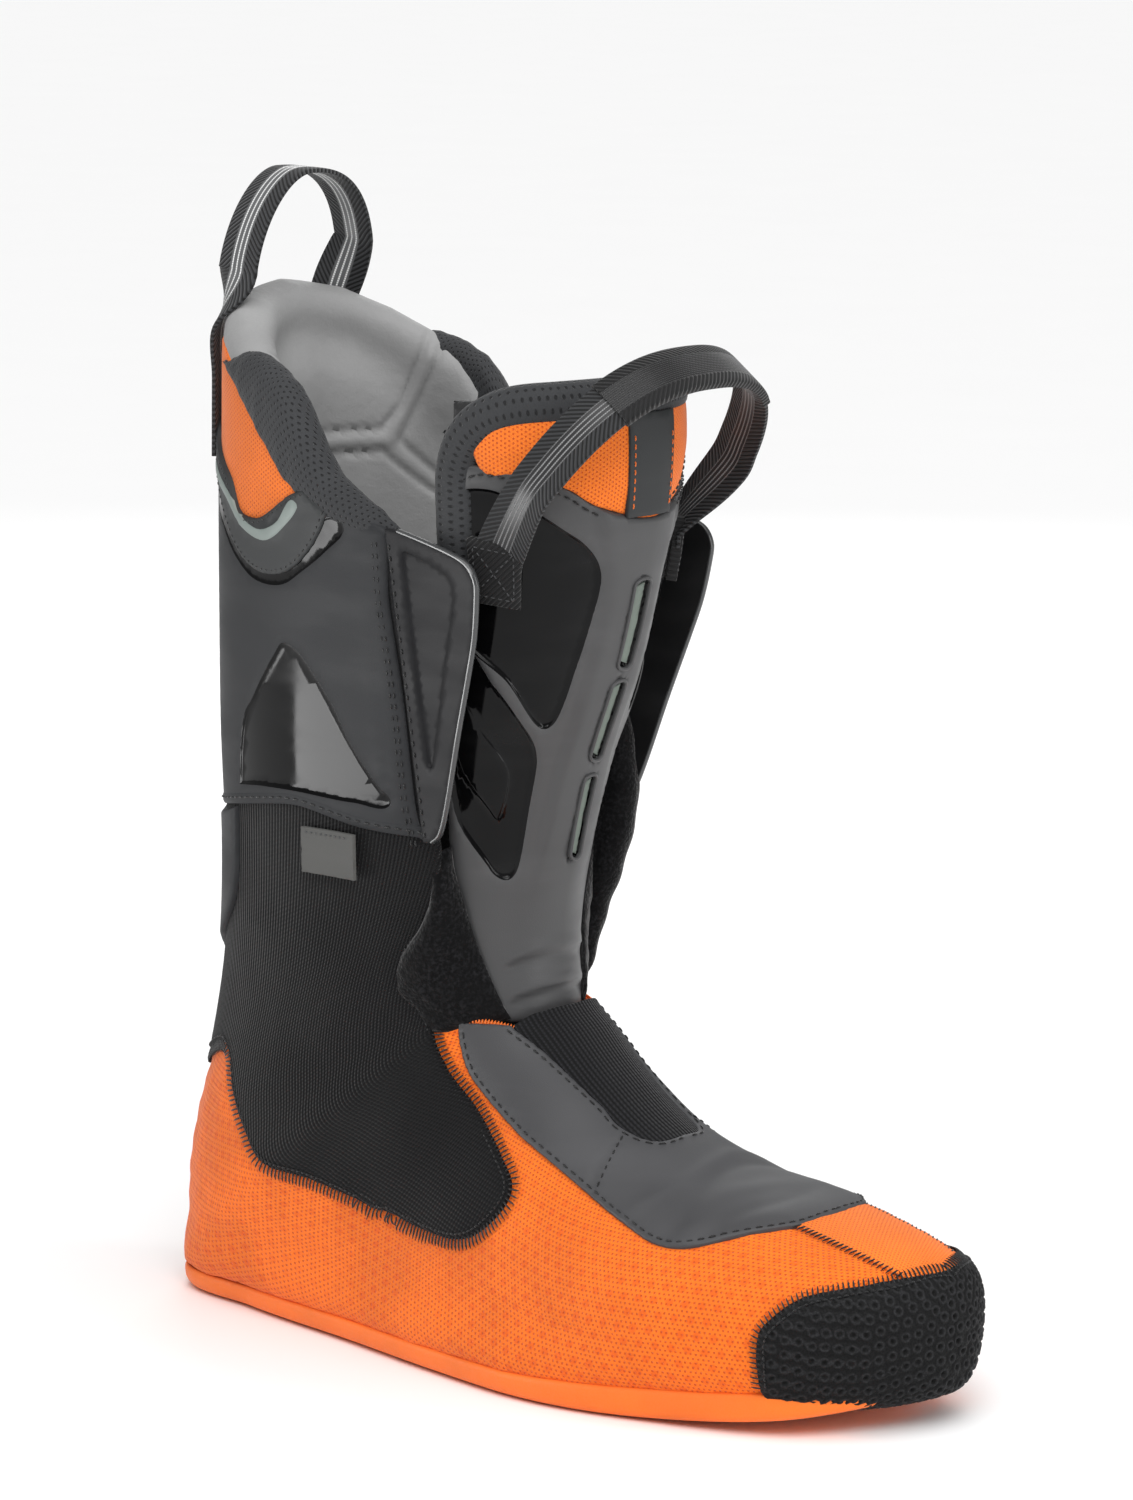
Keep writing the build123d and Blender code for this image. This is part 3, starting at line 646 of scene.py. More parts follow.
def tube_bundle(name, lines, radius, material):
    """Many thin tubes as one mesh. Each line is (points, normals)."""
    verts, faces, start = [], [], 0
    for points, normals in lines:
        taper = np.ones(len(points))
        taper[0] = taper[-1] = 0.35
        ring = ring_profile(2 * radius, 2 * radius, 6)
        v, f = sweep_mesh(points, normals, ring[None] * taper[:, None, None])
        verts.append(v)
        faces += [[i + start for i in face] for face in f]
        start += len(v)
    return make_object(name, np.concatenate(verts), faces, [material], sharp=60)


def along_chart(chart, places, closed=False, step=STITCH_STEP):
    """Chart coordinates evenly spaced in real millimetres along a smooth line of places."""
    line = smooth_path(chart.chart(places), closed=closed, step=1.0)
    both = np.concatenate([chart.point(line), line], axis=1)
    if closed:
        both = np.concatenate([both, both[:1]])
    arc = arc_length(both[:, :3])
    at = np.arange(0, arc[-1], step)
    return np.stack([np.interp(at, arc, both[:, k]) for k in (3, 4)], -1)


def moved_aside(chart, line, distance):
    """A line on a chart moved sideways on the surface by millimetres. On the outer side of the
    boot it moves to its left, seen from outside, and the inner side mirrors that."""
    point, normal, right, up = chart.frame_at(line)
    tangent = unit(np.gradient(point, axis=0))
    aside = np.cross(normal, tangent) * -chart.handed * distance
    rr, ru, uu = (right * right).sum(1), (right * up).sum(1), (up * up).sum(1)
    p, q = (aside * right).sum(1), (aside * up).sum(1)
    determinant = rr * uu - ru * ru
    shift = np.stack([(p * uu - q * ru) / determinant, (q * rr - p * ru) / determinant], -1)
    return line + shift


def running_stitch(chart, places, height, length=2.6, gap=1.0, aside=0.0):
    """Short stitches end to end along a seam."""
    line = along_chart(chart, places)
    line = moved_aside(chart, line, aside) if aside else line
    point, normal, _, _ = chart.frame_at(line)
    per, skip = round(length / STITCH_STEP), round((length + gap) / STITCH_STEP)
    bow = np.sin(np.linspace(0, pi, per + 1)) ** 0.5
    stitches = []
    for start in range(0, len(line) - per - 1, skip):
        part = slice(start, start + per + 1)
        lift = (height - 0.25 + 0.45 * bow)[:, None]
        stitches.append((point[part] + normal[part] * lift, normal[part]))
    return stitches


def cross_stitch(chart, places, height, width, pitch, lean, aside=0.0):
    """Short threads across a seam, as an overlock or zigzag machine leaves."""
    line = along_chart(chart, places)
    if aside:
        line = moved_aside(chart, line, aside)
    stitches = []
    every = max(1, round(pitch / STITCH_STEP))
    shift = round(lean * pitch / STITCH_STEP)
    left = moved_aside(chart, line, width / 2)
    right = moved_aside(chart, line, -width / 2)
    for start in range(shift, len(line) - shift, every):
        ends = np.linspace(left[start], right[start - shift], 5)
        point, normal, _, _ = chart.frame_at(ends)
        bow = (height - 0.2 + 0.35 * np.sin(np.linspace(0, pi, 5)) ** 0.5)[:, None]
        stitches.append((point + normal * bow, normal))
    return stitches


def thread(name, lines, material, body="liner", radius=0.3):
    """All the stitches of one seam as a piece that rides on a body."""
    obj = tube_bundle(name, lines, radius, material)
    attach(obj, body)
    return obj


# ---- materials -------------------------------------------------------------------------------
def srgb(r, g, b):
    """A colour from 0 to 255 as linear light."""
    c = np.array([r, g, b]) / 255
    return tuple(np.where(c <= 0.04045, c / 12.92, ((c + 0.055) / 1.055) ** 2.4)) + (1.0,)


class Shader:
    """A node material. Patterns use the pattern map or the object's own place, in mm."""

    def __init__(self, name, colour, roughness, sheen=0.0, specular=0.5):
        self.material = bpy.data.materials.new(name)
        self.material.use_nodes = True
        self.tree = self.material.node_tree
        self.surface = self.tree.nodes["Principled BSDF"]
        self.surface.inputs["Base Color"].default_value = colour
        self.surface.inputs["Roughness"].default_value = roughness
        self.surface.inputs["Sheen Weight"].default_value = sheen
        self.surface.inputs["Sheen Roughness"].default_value = 0.4
        self.surface.inputs["Specular IOR Level"].default_value = specular
        MATERIALS[name] = self.material

    def node(self, kind, **settings):
        made = self.tree.nodes.new(kind)
        for key, value in settings.items():
            setattr(made, key, value)
        return made

    def put(self, socket, value):
        if hasattr(value, "is_output"):
            self.tree.links.new(value, socket)
        else:
            socket.default_value = value

    def place(self, pattern=False, stretch=(1, 1, 1)):
        """Coordinates in millimetres, stretched, from the pattern map or the object."""
        if pattern:
            source = self.node("ShaderNodeUVMap", uv_map="pattern").outputs[0]
            scale = stretch
        else:
            source = self.node("ShaderNodeTexCoord").outputs["Object"]
            scale = tuple(1000 * s for s in stretch)
        mapping = self.node("ShaderNodeMapping")
        mapping.inputs["Scale"].default_value = scale
        self.put(mapping.inputs["Vector"], source)
        return mapping.outputs[0]

    def maths(self, operation, a, b=0.0, c=0.0):
        made = self.node("ShaderNodeMath", operation=operation)
        for k, value in enumerate((a, b, c)):
            self.put(made.inputs[k], value)
        return made.outputs[0]

    def noise(self, place, scale, detail=2.0):
        made = self.node("ShaderNodeTexNoise")
        self.put(made.inputs["Vector"], place)
        made.inputs["Scale"].default_value = scale
        made.inputs["Detail"].default_value = detail
        return made.outputs["Fac"]

    def wave(self, place, scale, direction):
        """Stripes. The node makes one in 0.314159 / scale millimetres."""
        made = self.node("ShaderNodeTexWave", bands_direction=direction)
        self.put(made.inputs["Vector"], place)
        made.inputs["Scale"].default_value = scale
        return made.outputs["Fac"]

    def stripes(self, place, pitch, direction="X"):
        """Smooth stripes, 0 to 1, one every pitch millimetres."""
        return self.wave(place, 0.314159 / pitch, direction)

    def hexagons(self, place, pitch):
        """A lattice of round dots, 1 in the middle of each and 0 between them."""
        split = self.node("ShaderNodeSeparateXYZ")
        self.put(split.inputs[0], place)
        x, y = split.outputs[0], split.outputs[1]
        k = 2 * pi / (HEX_ROW * pitch)
        total = None
        for cx, cy in ((k, 0), (k / 2, k * HEX_ROW), (-k / 2, k * HEX_ROW)):
            across, along = self.maths("MULTIPLY", x, cx), self.maths("MULTIPLY", y, cy)
            phase = self.maths("ADD", across, along)
            part = self.maths("COSINE", phase)
            total = part if total is None else self.maths("ADD", total, part)
        return self.maths("MULTIPLY_ADD", total, 1 / 4.5, 1 / 3)

    def ramp(self, value, low, high, out_low=0.0, out_high=1.0):
        made = self.node("ShaderNodeMapRange", interpolation_type="SMOOTHSTEP")
        self.put(made.inputs["Value"], value)
        for key, number in (("From Min", low), ("From Max", high), ("To Min", out_low),
                            ("To Max", out_high)):
            made.inputs[key].default_value = number
        return made.outputs[0]

    def mix(self, share, a, b):
        made = self.node("ShaderNodeMix", data_type="RGBA")
        self.put(made.inputs["Factor"], share)
        self.put(made.inputs["A"], a)
        self.put(made.inputs["B"], b)
        return made.outputs["Result"]

    def paint(self, colour):
        self.put(self.surface.inputs["Base Color"], colour)

    def gloss(self, roughness):
        self.put(self.surface.inputs["Roughness"], roughness)

    def bump(self, *layers):
        """Bump from (height value, height in millimetres) pairs, finest last."""
        normal = None
        for value, height in layers:
            made = self.node("ShaderNodeBump")
            made.inputs["Distance"].default_value = height * MM
            self.put(made.inputs["Height"], value)
            if normal is not None:
                self.put(made.inputs["Normal"], normal)
            normal = made.outputs[0]
        self.put(self.surface.inputs["Normal"], normal)


ORANGE = srgb(255, 122, 30)
ORANGE_DARK = srgb(222, 74, 12)
CHARCOAL = srgb(47, 48, 50)
PALE_GREEN = srgb(132, 142, 138)
FOAM_GREY = srgb(152, 152, 152)


def dimmed(colour, share):
    """A colour times a share, with its alpha kept."""
    return tuple(share * c for c in colour[:3]) + (1,)


def mottled(s, a, b, scale):
    """Slow colour variation between two colours."""
    return s.mix(s.ramp(s.noise(s.place(), scale, 3), 0.35, 0.65), a, b)


def mesh_fabric(name, colour, dark, pitch, blob=0.0):
    """Spacer mesh: small holes in a lattice, and on some a large honeycomb of darker dots."""
    s = Shader(name, colour, 0.75, sheen=0.15, specular=0.25)
    holes = s.hexagons(s.place(True), pitch)
    open_share = s.ramp(holes, 0.55, 0.9)
    base = mottled(s, colour, dimmed(colour, 0.86), 0.04)
    if blob:
        large = s.ramp(s.hexagons(s.place(True), blob), 0.35, 0.8)
        patchy = s.ramp(s.noise(s.place(), 0.02, 2), 0.35, 0.6, 0.15, 0.4)
        base = s.mix(s.maths("MULTIPLY", large, patchy), base, dark)
    s.paint(s.mix(s.maths("MULTIPLY", open_share, 0.75), base, dark))
    yarn = s.noise(s.place(True), 2.2, 3)
    s.bump((s.maths("SUBTRACT", 1.0, open_share), 0.35), (yarn, 0.12))
    s.gloss(s.ramp(yarn, 0.2, 0.8, 0.65, 0.9))


def ringed_cloth(name, colour, ring, dimple_shade):
    """Abrasion cloth with painted ring highlights and painted dimple shade. Pattern x is the distance from
    the nearest ring's middle.
    """
    s = Shader(name, colour, 0.72, sheen=0.04, specular=0.2)
    split = s.node("ShaderNodeSeparateXYZ")
    s.put(split.inputs[0], s.place(True))
    near = split.outputs[0]
    # the raised ring's crest, painted lighter as a painted highlight, broken up by the grit noise
    rim = s.maths("MULTIPLY", s.ramp(near, 0.75, 1.15), s.ramp(near, 1.35, 1.75, 1, 0))
    grit = s.noise(s.place(), 1.8, 4)
    shade = s.maths("MULTIPLY", rim, s.ramp(grit, 0.35, 0.7, 0.15, 1))
    # ring middles are painted near black: painted shade in the dimples
    s.paint(s.mix(s.ramp(near, 0.35, 0.85, 1, 0), s.mix(shade, colour, ring), dimple_shade))
    s.gloss(s.ramp(grit, 0.3, 0.7, 0.55, 0.85))
    s.bump((grit, 0.25))


def rib_knit(name, colour, light, pitch, cross):
    """Fine ribs with cross threads."""
    s = Shader(name, colour, 0.8, sheen=0.1, specular=0.15)
    ribs = s.stripes(s.place(True), pitch)
    threads = s.stripes(s.place(True), cross, "Y")
    worn = s.noise(s.place(), 0.03, 3)
    shade = s.maths("MULTIPLY", s.ramp(ribs, 0.2, 1), s.ramp(threads, 0, 1, 0.5, 1))
    s.paint(s.mix(s.maths("MULTIPLY", shade, s.ramp(worn, 0.2, 0.8, 0.6, 1)), colour, light))
    s.gloss(s.ramp(worn, 0.3, 0.7, 0.7, 0.88))
    s.bump((ribs, 0.3), (threads, 0.12), (s.noise(s.place(True), 3, 2), 0.08))


def moulded(name, colour, roughness, grain=0.06, specular=0.35, grain_scale=2.5):
    """Moulded plastic or synthetic with a fine grain and light scuffs."""
    s = Shader(name, colour, roughness, specular=specular)
    fine = s.noise(s.place(), grain_scale, 4)
    scuffs = s.noise(s.place(stretch=(0.02, 0.02, 0.08)), 1.0, 6)
    s.paint(s.mix(s.ramp(scuffs, 0.45, 0.75, 0, 0.35), colour,
                  tuple(min(1, 1.5 * c + 0.01) for c in colour[:3]) + (1,)))
    s.gloss(s.ramp(scuffs, 0.35, 0.75, roughness, min(1, roughness + 0.14)))
    s.bump((fine, grain))


def plush(name, colour, light):
    """Fleece and other napped cloth."""
    s = Shader(name, colour, 0.95, sheen=0.3, specular=0.1)
    tufts = s.noise(s.place(), 0.9, 5)
    lie = s.noise(s.place(), 0.12, 3)
    s.paint(s.mix(s.maths("MULTIPLY", s.ramp(tufts, 0.4, 0.75), s.ramp(lie, 0.3, 0.7, 0.4, 1)),
                  colour, light))
    s.gloss(s.ramp(lie, 0.3, 0.7, 0.85, 1.0))
    s.bump((lie, 0.6), (tufts, 0.5))


def foam(name, colour, grain=0.08):
    """Closed-cell foam with fine pores and a soft skin."""
    s = Shader(name, colour, 0.62, sheen=0.1, specular=0.35)
    s.paint(mottled(s, colour, dimmed(colour, 0.88), 0.03))
    pores = s.noise(s.place(), 1.6, 5)
    s.gloss(s.ramp(pores, 0.3, 0.7, 0.5, 0.72))
    s.bump((s.noise(s.place(), 0.25, 2), 0.25), (pores, grain))


def webbing_cloth(name, dark, light, band, band_width, lines):
    """Chevron webbing with a woven band down its middle. Pattern x runs across it."""
    s = Shader(name, dark, 0.7, sheen=0.2, specular=0.35)
    split = s.node("ShaderNodeSeparateXYZ")
    s.put(split.inputs[0], s.place(True))
    across, along = split.outputs[0], split.outputs[1]
    fold = s.maths("ABSOLUTE", across)
    slant = s.maths("ADD", s.maths("MULTIPLY", fold, 1.0), along)
    twill = s.maths("SINE", s.maths("MULTIPLY", slant, 3.6))
    twill = s.ramp(twill, -0.6, 0.8)
    middle = s.ramp(fold, band_width / 2 - 0.3, band_width / 2 + 0.3, 1, 0)
    rungs = s.ramp(s.maths("SINE", s.maths("MULTIPLY", along, 9.0)), -1, 1, 0.55, 1)
    threads = s.maths("COSINE", s.maths("MULTIPLY", across, 2 * pi / lines))
    bright = s.maths("MULTIPLY", s.ramp(threads, 0.35, 0.8), rungs)
    body = s.mix(twill, dark, light)
    centre = s.mix(bright, band[0], band[1])
    s.paint(s.mix(middle, body, centre))
    s.gloss(s.ramp(middle, 0, 1, 0.75, 0.38))
    s.bump((s.mix(middle, twill, bright), 0.3))


def smooth_thread(name, colour):
    s = Shader(name, colour, 0.5, sheen=0.2, specular=0.4)
    ply = s.wave(s.place(), 0.7, "DIAGONAL")
    s.paint(s.mix(ply, dimmed(colour, 0.6), colour))
    s.bump((ply, 0.1))


def make_materials():
    """Every finish of the liner."""
    mesh_fabric("orange_mesh", ORANGE, ORANGE_DARK, 1.6, blob=5.2)
    mesh_fabric("orange_knit", srgb(255, 128, 40), ORANGE_DARK, 1.35)
    mesh_fabric("binding_mesh", srgb(58, 59, 61), srgb(12, 12, 13), 2.3)
    # toe cap: the ring colour is a painted highlight on the raised rings, the last colour painted shade in
    # their dimples
    ringed_cloth("toe_fabric", srgb(11, 11, 12), srgb(46, 46, 48), srgb(3, 3, 3))
    rib_knit("knit", srgb(13, 13, 14), srgb(27, 27, 29), 1.5, 1.3)
    rib_knit("elastic", srgb(17, 17, 18), srgb(42, 42, 45), 1.5, 2.2)
    moulded("cuff_plastic", CHARCOAL, 0.52, 0.05, specular=0.16)
    moulded("gloss_plastic", srgb(7, 7, 8), 0.06, 0.002, specular=0.17)
    moulded("shield_plastic", srgb(68, 68, 69), 0.4, 0.05, specular=0.42)
    moulded("overlay_pu", srgb(64, 64, 66), 0.5, 0.06, grain_scale=3.5)
    moulded("patch_plastic", srgb(44, 46, 47), 0.55, 0.05)
    moulded("wing_plastic", srgb(31, 31, 33), 0.46, 0.04, specular=0.14)
    moulded("stripe", PALE_GREEN, 0.45, 0.02)
    moulded("slot_insert", srgb(106, 116, 108), 0.4, 0.03)
    # wing rim: plastic painted lighter than the wing as a painted highlight on the rolled edge; its gloss
    # is real
    moulded("painted_highlight_edge", srgb(58, 59, 60), 0.22, 0.01, specular=0.6)
    moulded("black_plastic", srgb(22, 22, 23), 0.4, 0.03)
    plush("fleece", srgb(10, 10, 11), srgb(36, 36, 38))
    foam("foam_grey", FOAM_GREY)
    foam("foam_black", srgb(32, 32, 33))
    foam("sole_foam", srgb(255, 124, 36), 0.05)
    foam("board_grey", srgb(84, 81, 74))
    webbing_cloth("webbing", srgb(14, 14, 15), srgb(58, 59, 61),
                  (srgb(96, 97, 98), srgb(245, 245, 245)), 5.6, 1.85)
    webbing_cloth("satin_webbing", srgb(12, 12, 13), srgb(52, 53, 55),
                  (srgb(46, 46, 47), srgb(150, 150, 151)), 5.6, 1.4)
    webbing_cloth("sleeve", srgb(9, 9, 10), srgb(24, 24, 25),
                  (srgb(12, 12, 13), srgb(34, 34, 36)), 9, 0.7)
    moulded("label", srgb(84, 84, 82), 0.7, 0.1)
    smooth_thread("thread_black", srgb(18, 18, 19))
    smooth_thread("thread_grey", srgb(70, 71, 73))
    smooth_thread("thread_orange", ORANGE)


make_materials()


# ---- outlines: (angle, station) on the outer side of the leg ---------------------------------
TOE_TOP = [(0, 1.8), (29, 2.1), (31, 2.4), (26, 3.2), (22, 4.0), (19, 4.8), (0, 4.9)]
TOE_CAP_EDGE = [(0, 2.0), (33, 2.6), (52, 3.4), (62, 3.9), (74, 4.2), (86, 4.4), (97, 4.4)]
THROAT_EDGE = [(54, 11.7), (51, 11.4), (45, 11.0), (38, 10.6), (28, 9.9)]
VAMP_OUTER = [(0, 4.6), (19, 4.7), (42, 5.3), (50, 5.6), (51, 5.9), (48, 6.4), (46, 7.1),
              (49, 8.2), (50, 9.3), (47, 10.2), (44, 10.85)]
VAMP_INNER = [(29, 9.95), (22, 8.6), (18, 7.7), (17.5, 7.3), (11, 6.9), (0, 6.85)]
GORE = [(0, 6.55), (12, 6.62), (20, 7.1), (22, 7.7), (26, 8.6), (33, 9.9), (20, 9.95), (0, 9.8)]
KNIT_LOWER = [(180, 13.75), (150, 13.75), (128, 13.6), (116, 12.6), (106, 11.6), (98, 10.8),
              (92, 10.0), (90, 9.1), (88, 8.4), (84, 8.0), (74, 7.8), (64, 7.8), (59, 8.1),
              (55, 8.9), (54, 9.9), (52, 11.1), (54, 11.7)]
KNIT_FRONT = [(54, 11.7), (61, 12.4), (63, 13.1), (56, 13.6), (54, 14.2), (56, 15.0)]
CUFF_HEM = [(61.5, 15.3), (64, 15.4), (83, 15.8), (98, 16.2), (112, 16.3), (140, 16.35), (180, 16.35)]
SEAM = [(61.5, 15.2), (64, 15.6), (66, 15.9), (72, 17.2), (78, 18.1), (80, 18.7)]


def mirrored(half):
    """A half outline made whole across the middle."""
    other = [(-a, v) for a, v in reversed(half) if a != 0]
    return list(half) + other


def doubled(points, *corners):
    """Repeats the points at some positions, which makes them sharp corners."""
    return [p for k, p in enumerate(points) for _ in range(2 if k in corners else 1)]


BODY = {name: BodyChart(side) for name, side in SIDES}
FRONT = BodyChart(1, middle=0.0)
TONGUE = TongueChart()
TOE = ToeChart()


# ---- sole ------------------------------------------------------------------------------------
SEAM_HEIGHTS = np.array([(-150, 6.6), (-97, 7.0), (-18, 7.4), (28, 7.7), (61, 9.2), (92, 11.2),
                         (110, 12.8), (128, 14.5), (140, 16), (152, 18)], float)


def sole_seam():
    """The line where the upper meets the sole, seen from above, evenly spaced."""
    angles = np.linspace(90, 180, 361)
    line = []
    for side in (1, -1):
        half = []
        for station in np.concatenate([np.linspace(0.6, 10, 80), np.linspace(10.02, 12.2, 120)]):
            points = body_point(side * angles, station)
            level = np.interp(points[:, 0], SEAM_HEIGHTS[:, 0], SEAM_HEIGHTS[:, 1])
            gap = points[:, 2] - level
            below = np.nonzero(gap < 0)[0]
            if len(below) and below[0] > 0:
                k = below[0]
                share = gap[k - 1] / (gap[k - 1] - gap[k])
                half.append(points[k - 1] * (1 - share) + points[k] * share)
        line.append(np.array(half))
    whole = np.concatenate([line[0], line[1][::-1]])
    return resample(whole, 1.6, closed=True)


def build_sole():
    """A moulded foam shell sole with a lip that cups the upper and a gently lifted toe."""
    seam = sole_seam()
    flat = seam[:, :2]
    for _ in range(3):
        flat = (np.roll(flat, 1, axis=0) + 2 * flat + np.roll(flat, -1, axis=0)) / 4
    tangent = unit(np.roll(flat, -1, axis=0) - np.roll(flat, 1, axis=0))
    out = np.stack([tangent[:, 1], -tangent[:, 0]], -1)
    centre = flat.mean(axis=0)
    if np.sum(out * (flat - centre)) < 0:
        out = -out
    low = sole_bottom(flat[:, 0])
    top = seam[:, 2]
    rows = [(-7, low + 8.4), (-2.6, low + 8.4), (-1.3, top - 1.0), (-0.5, top + 0.1),
            (0.2, top + 0.45), (0.9, top + 0.2), (1.3, top - 0.6), (1.35, top - 1.6),
            (1.1, low + 3.2), (0.5, low + 1.9), (-0.5, low + 0.9), (-1.9, low + 0.25), (-3.8, low),
            (-9, low)]
    tuck = (2.4 * smoothstep((flat[:, 0] - 112) / 30))[:, None]
    ring = [np.column_stack([flat + out * (d - tuck), z]) for d, z in rows]
    count = len(flat)
    verts = np.concatenate(ring)
    faces = tube_faces(len(rows), count)
    for row, level in ((0, 8.4), (len(rows) - 1, 0.0)):
        edge = ring[row][:, :2]
        loose = hex_grid(edge.min(0), edge.max(0), 5.0)
        loose = loose[inside(loose, edge)]
        gap = distance_to(np.column_stack([loose, 0 * loose[:, 0]]),
                          np.column_stack([edge, 0 * edge[:, 0]]))
        loose = loose[gap > 2.5]
        start = len(verts)
        points, triangles = triangulate(edge, [], loose)
        height = sole_bottom(points[:, 0]) + level
        near = tree_of(ring[row])
        index, extra = [], []
        for p, z in zip(points, height):
            found = near.find((p[0], p[1], z))
            if found[2] < 0.05:
                index.append(row * count + found[1])
            else:
                index.append(start + len(extra))
                extra.append((p[0], p[1], z))
        verts = np.concatenate([verts, np.array(extra)])
        faces += [tuple(index[i] for i in t) for t in triangles]
    obj = make_object("sole_shell", verts, faces, ["sole_foam"], sharp=50)
    fix_normals(obj)
    return finish_piece(obj, "liner", ["sole"])


def fix_normals(obj):
    """Makes all faces look outward."""
    bm = bmesh.new()
    bm.from_mesh(obj.data)
    bmesh.ops.recalc_face_normals(bm, faces=bm.faces)
    bm.to_mesh(obj.data)
    bm.free()


# ---- foot ------------------------------------------------------------------------------------
def ring_centres(gap, last):
    """Points of the toe skin about gap apart, in staggered rows."""
    stations = np.linspace(-0.8, last, 400)
    arc = arc_length(body_point(60, stations))
    rows = np.interp(np.arange(gap / 2, arc[-1], gap * 0.87), arc, stations)
    centres = []
    for k, station in enumerate(rows):
        angles = np.linspace(-178, 178, 500)
        around = arc_length(body_point(angles, station))
        count = max(3, round(around[-1] / gap))
        at = (np.arange(count) + 0.5 * (k % 2)) * around[-1] / count
        chosen = np.interp(at, around, angles)
        centres.append(body_point(chosen, station))
    return np.concatenate(centres)


TOE_RINGS = tree_of(ring_centres(4.3, 4.5))


def ring_distance(point):
    return np.array([TOE_RINGS.find(p)[2] for p in point])


def ring_bumps(flat, point, gap):
    """Raised rings, each with a dimple, in a honeycomb on the toe cap."""
    near = ring_distance(point)
    raised = 0.6 * np.exp(-((near - 1.25) / 0.5) ** 2) - 0.5 * np.exp(-(near / 0.6) ** 2)
    return raised * smoothstep((gap - 2.6) / 1.2)


def ring_pattern(point):
    near = ring_distance(point)
    return np.stack([near, point[:, 0]], -1)


def mesh_puff(flat, point, gap):
    """The mesh upper is lightly quilted: low round pads with shallow valleys."""
    x, y = flat[:, 0], flat[:, 1]
    k = 2 * pi / 9.5
    value = (np.cos(k * x) + np.cos(k * (0.5 * x + HEX_ROW * y))
             + np.cos(k * (0.5 * x - HEX_ROW * y)))
    slow = np.sin(x * 0.05 + y * 0.03) * np.sin(y * 0.06 - x * 0.02)
    return 0.08 * value + 0.25 * slow


def build_upper():
    """Orange mesh upper with its toe cap, toe panel, overlay and stretch gore."""
    for name, side in SIDES:
        chart = BODY[name]
        outline = [(0, 1.7), (33, 2.2), (52, 2.9), (62, 3.4), (74, 3.8), (97, 4.0), (152, 4.1),
                   (153, 7), (153, 9.6), (155, 10.8), (165, 11.2), (180, 11.3), (180, 13.9),
                   (150, 14.1), (100, 14.2), (66, 13.9), (64, 13.1), (62, 12.4), *THROAT_EDGE,
                   (14, 9.65), (0, 9.6)]
        outline = doubled(outline, 0, 6, 9, 11, 12, 15, 20, 22, 24)
        piece = panel(f"mesh_upper_{name}", chart, outline, 0.0, -1.5, ["orange_mesh"], 0.9, 2.6,
                      relief=mesh_puff)
        finish_piece(piece, "liner", [f"mesh_quarter_{name}"])
        strip = thread(f"throat_binding_{name}", cross_stitch(
            chart, THROAT_EDGE[::-1], 0.25, 2.2, 1.1, 0.2, aside=0.6), "thread_orange", radius=0.34)

    top = panel("toe_panel", FRONT, doubled(mirrored(TOE_TOP), 1, 5, 8, 12), 0.95, -1.2,
                ["orange_knit"], 0.9, 2.0)
    finish_piece(top, "liner", ["toe_top_panel"])
    cap_edge = TOE_CAP_EDGE + [(125, 4.3), (150, 3.7), (180, 3.0)]
    cap = panel("toe_cap_cover", TOE, mirrored_closed(cap_edge),
                1.5, -1.4, ["toe_fabric"], 1.2, 1.1, relief=ring_bumps,
                pattern=ring_pattern)
    finish_piece(cap, "liner", ["toe_cap"])

    vamp = panel("vamp_cover", FRONT, vamp_outline(), 1.35, -0.6, ["overlay_pu"], 0.9, 1.7,
                 relief=vamp_wrinkles)
    finish_piece(vamp, "liner", ["vamp_overlay"])
    gore = panel("stretch_gore", FRONT, doubled(mirrored(GORE), 5, 6, 8, 9), 0.75, -0.9, ["elastic"],
                 0.7, 1.8, relief=gore_creases)
    finish_piece(gore, "liner", ["vamp_gore"])


def mirrored_closed(half):
    """Half of a ring round the toe tip made whole, without repeating the ends."""
    return list(half) + [(-a, v) for a, v in reversed(half[1:-1])]


def vamp_outline():
    """The U-shaped overlay: outside edge, two arms and the edge round the gore."""
    outer, inner = VAMP_OUTER[1:], VAMP_INNER[:-1]
    right = doubled(outer, 0, len(outer) - 1) + doubled(inner, 0)
    left = [(-a, v) for a, v in reversed(right)]
    return [VAMP_OUTER[0], *right, VAMP_INNER[-1], *left]


def vamp_wrinkles(flat, point, gap):
    """Soft creases where the toes bend, and a puffed look between the seams."""
    x, y = flat[:, 0] / GIRTH_SCALE, flat[:, 1] / STATION_SCALE
    creases = [(5.55, 0.30, 0.16, 0.5), (5.95, -0.35, 0.10, -0.55), (6.25, 0.25, 0.10, 0.5),
               (5.25, 0.2, 0.10, -0.35)]
    lift = np.zeros(len(flat))
    for station, slope, width, height in creases:
        across = y - station - slope * x + 0.10 * np.sin(x * 14 + station * 5)
        lift += height * np.exp(-(across / width) ** 2) * (0.6 + 0.4 * np.cos(x * 9 + station))
    seam = y - np.interp(np.abs(x), [0.12, 0.2, 0.26, 0.34], [7.2, 7.1, 6.9, 6.78])
    lift -= 0.45 * np.exp(-(seam / 0.035) ** 2) * (np.abs(x) > 0.13)
    return lift + 0.35 * smoothstep(gap / 7)


def gore_creases(flat, point, gap):
    """The elastic puffs a little between the arms of the overlay."""
    return 0.6 * smoothstep((gap - 2) / 10)


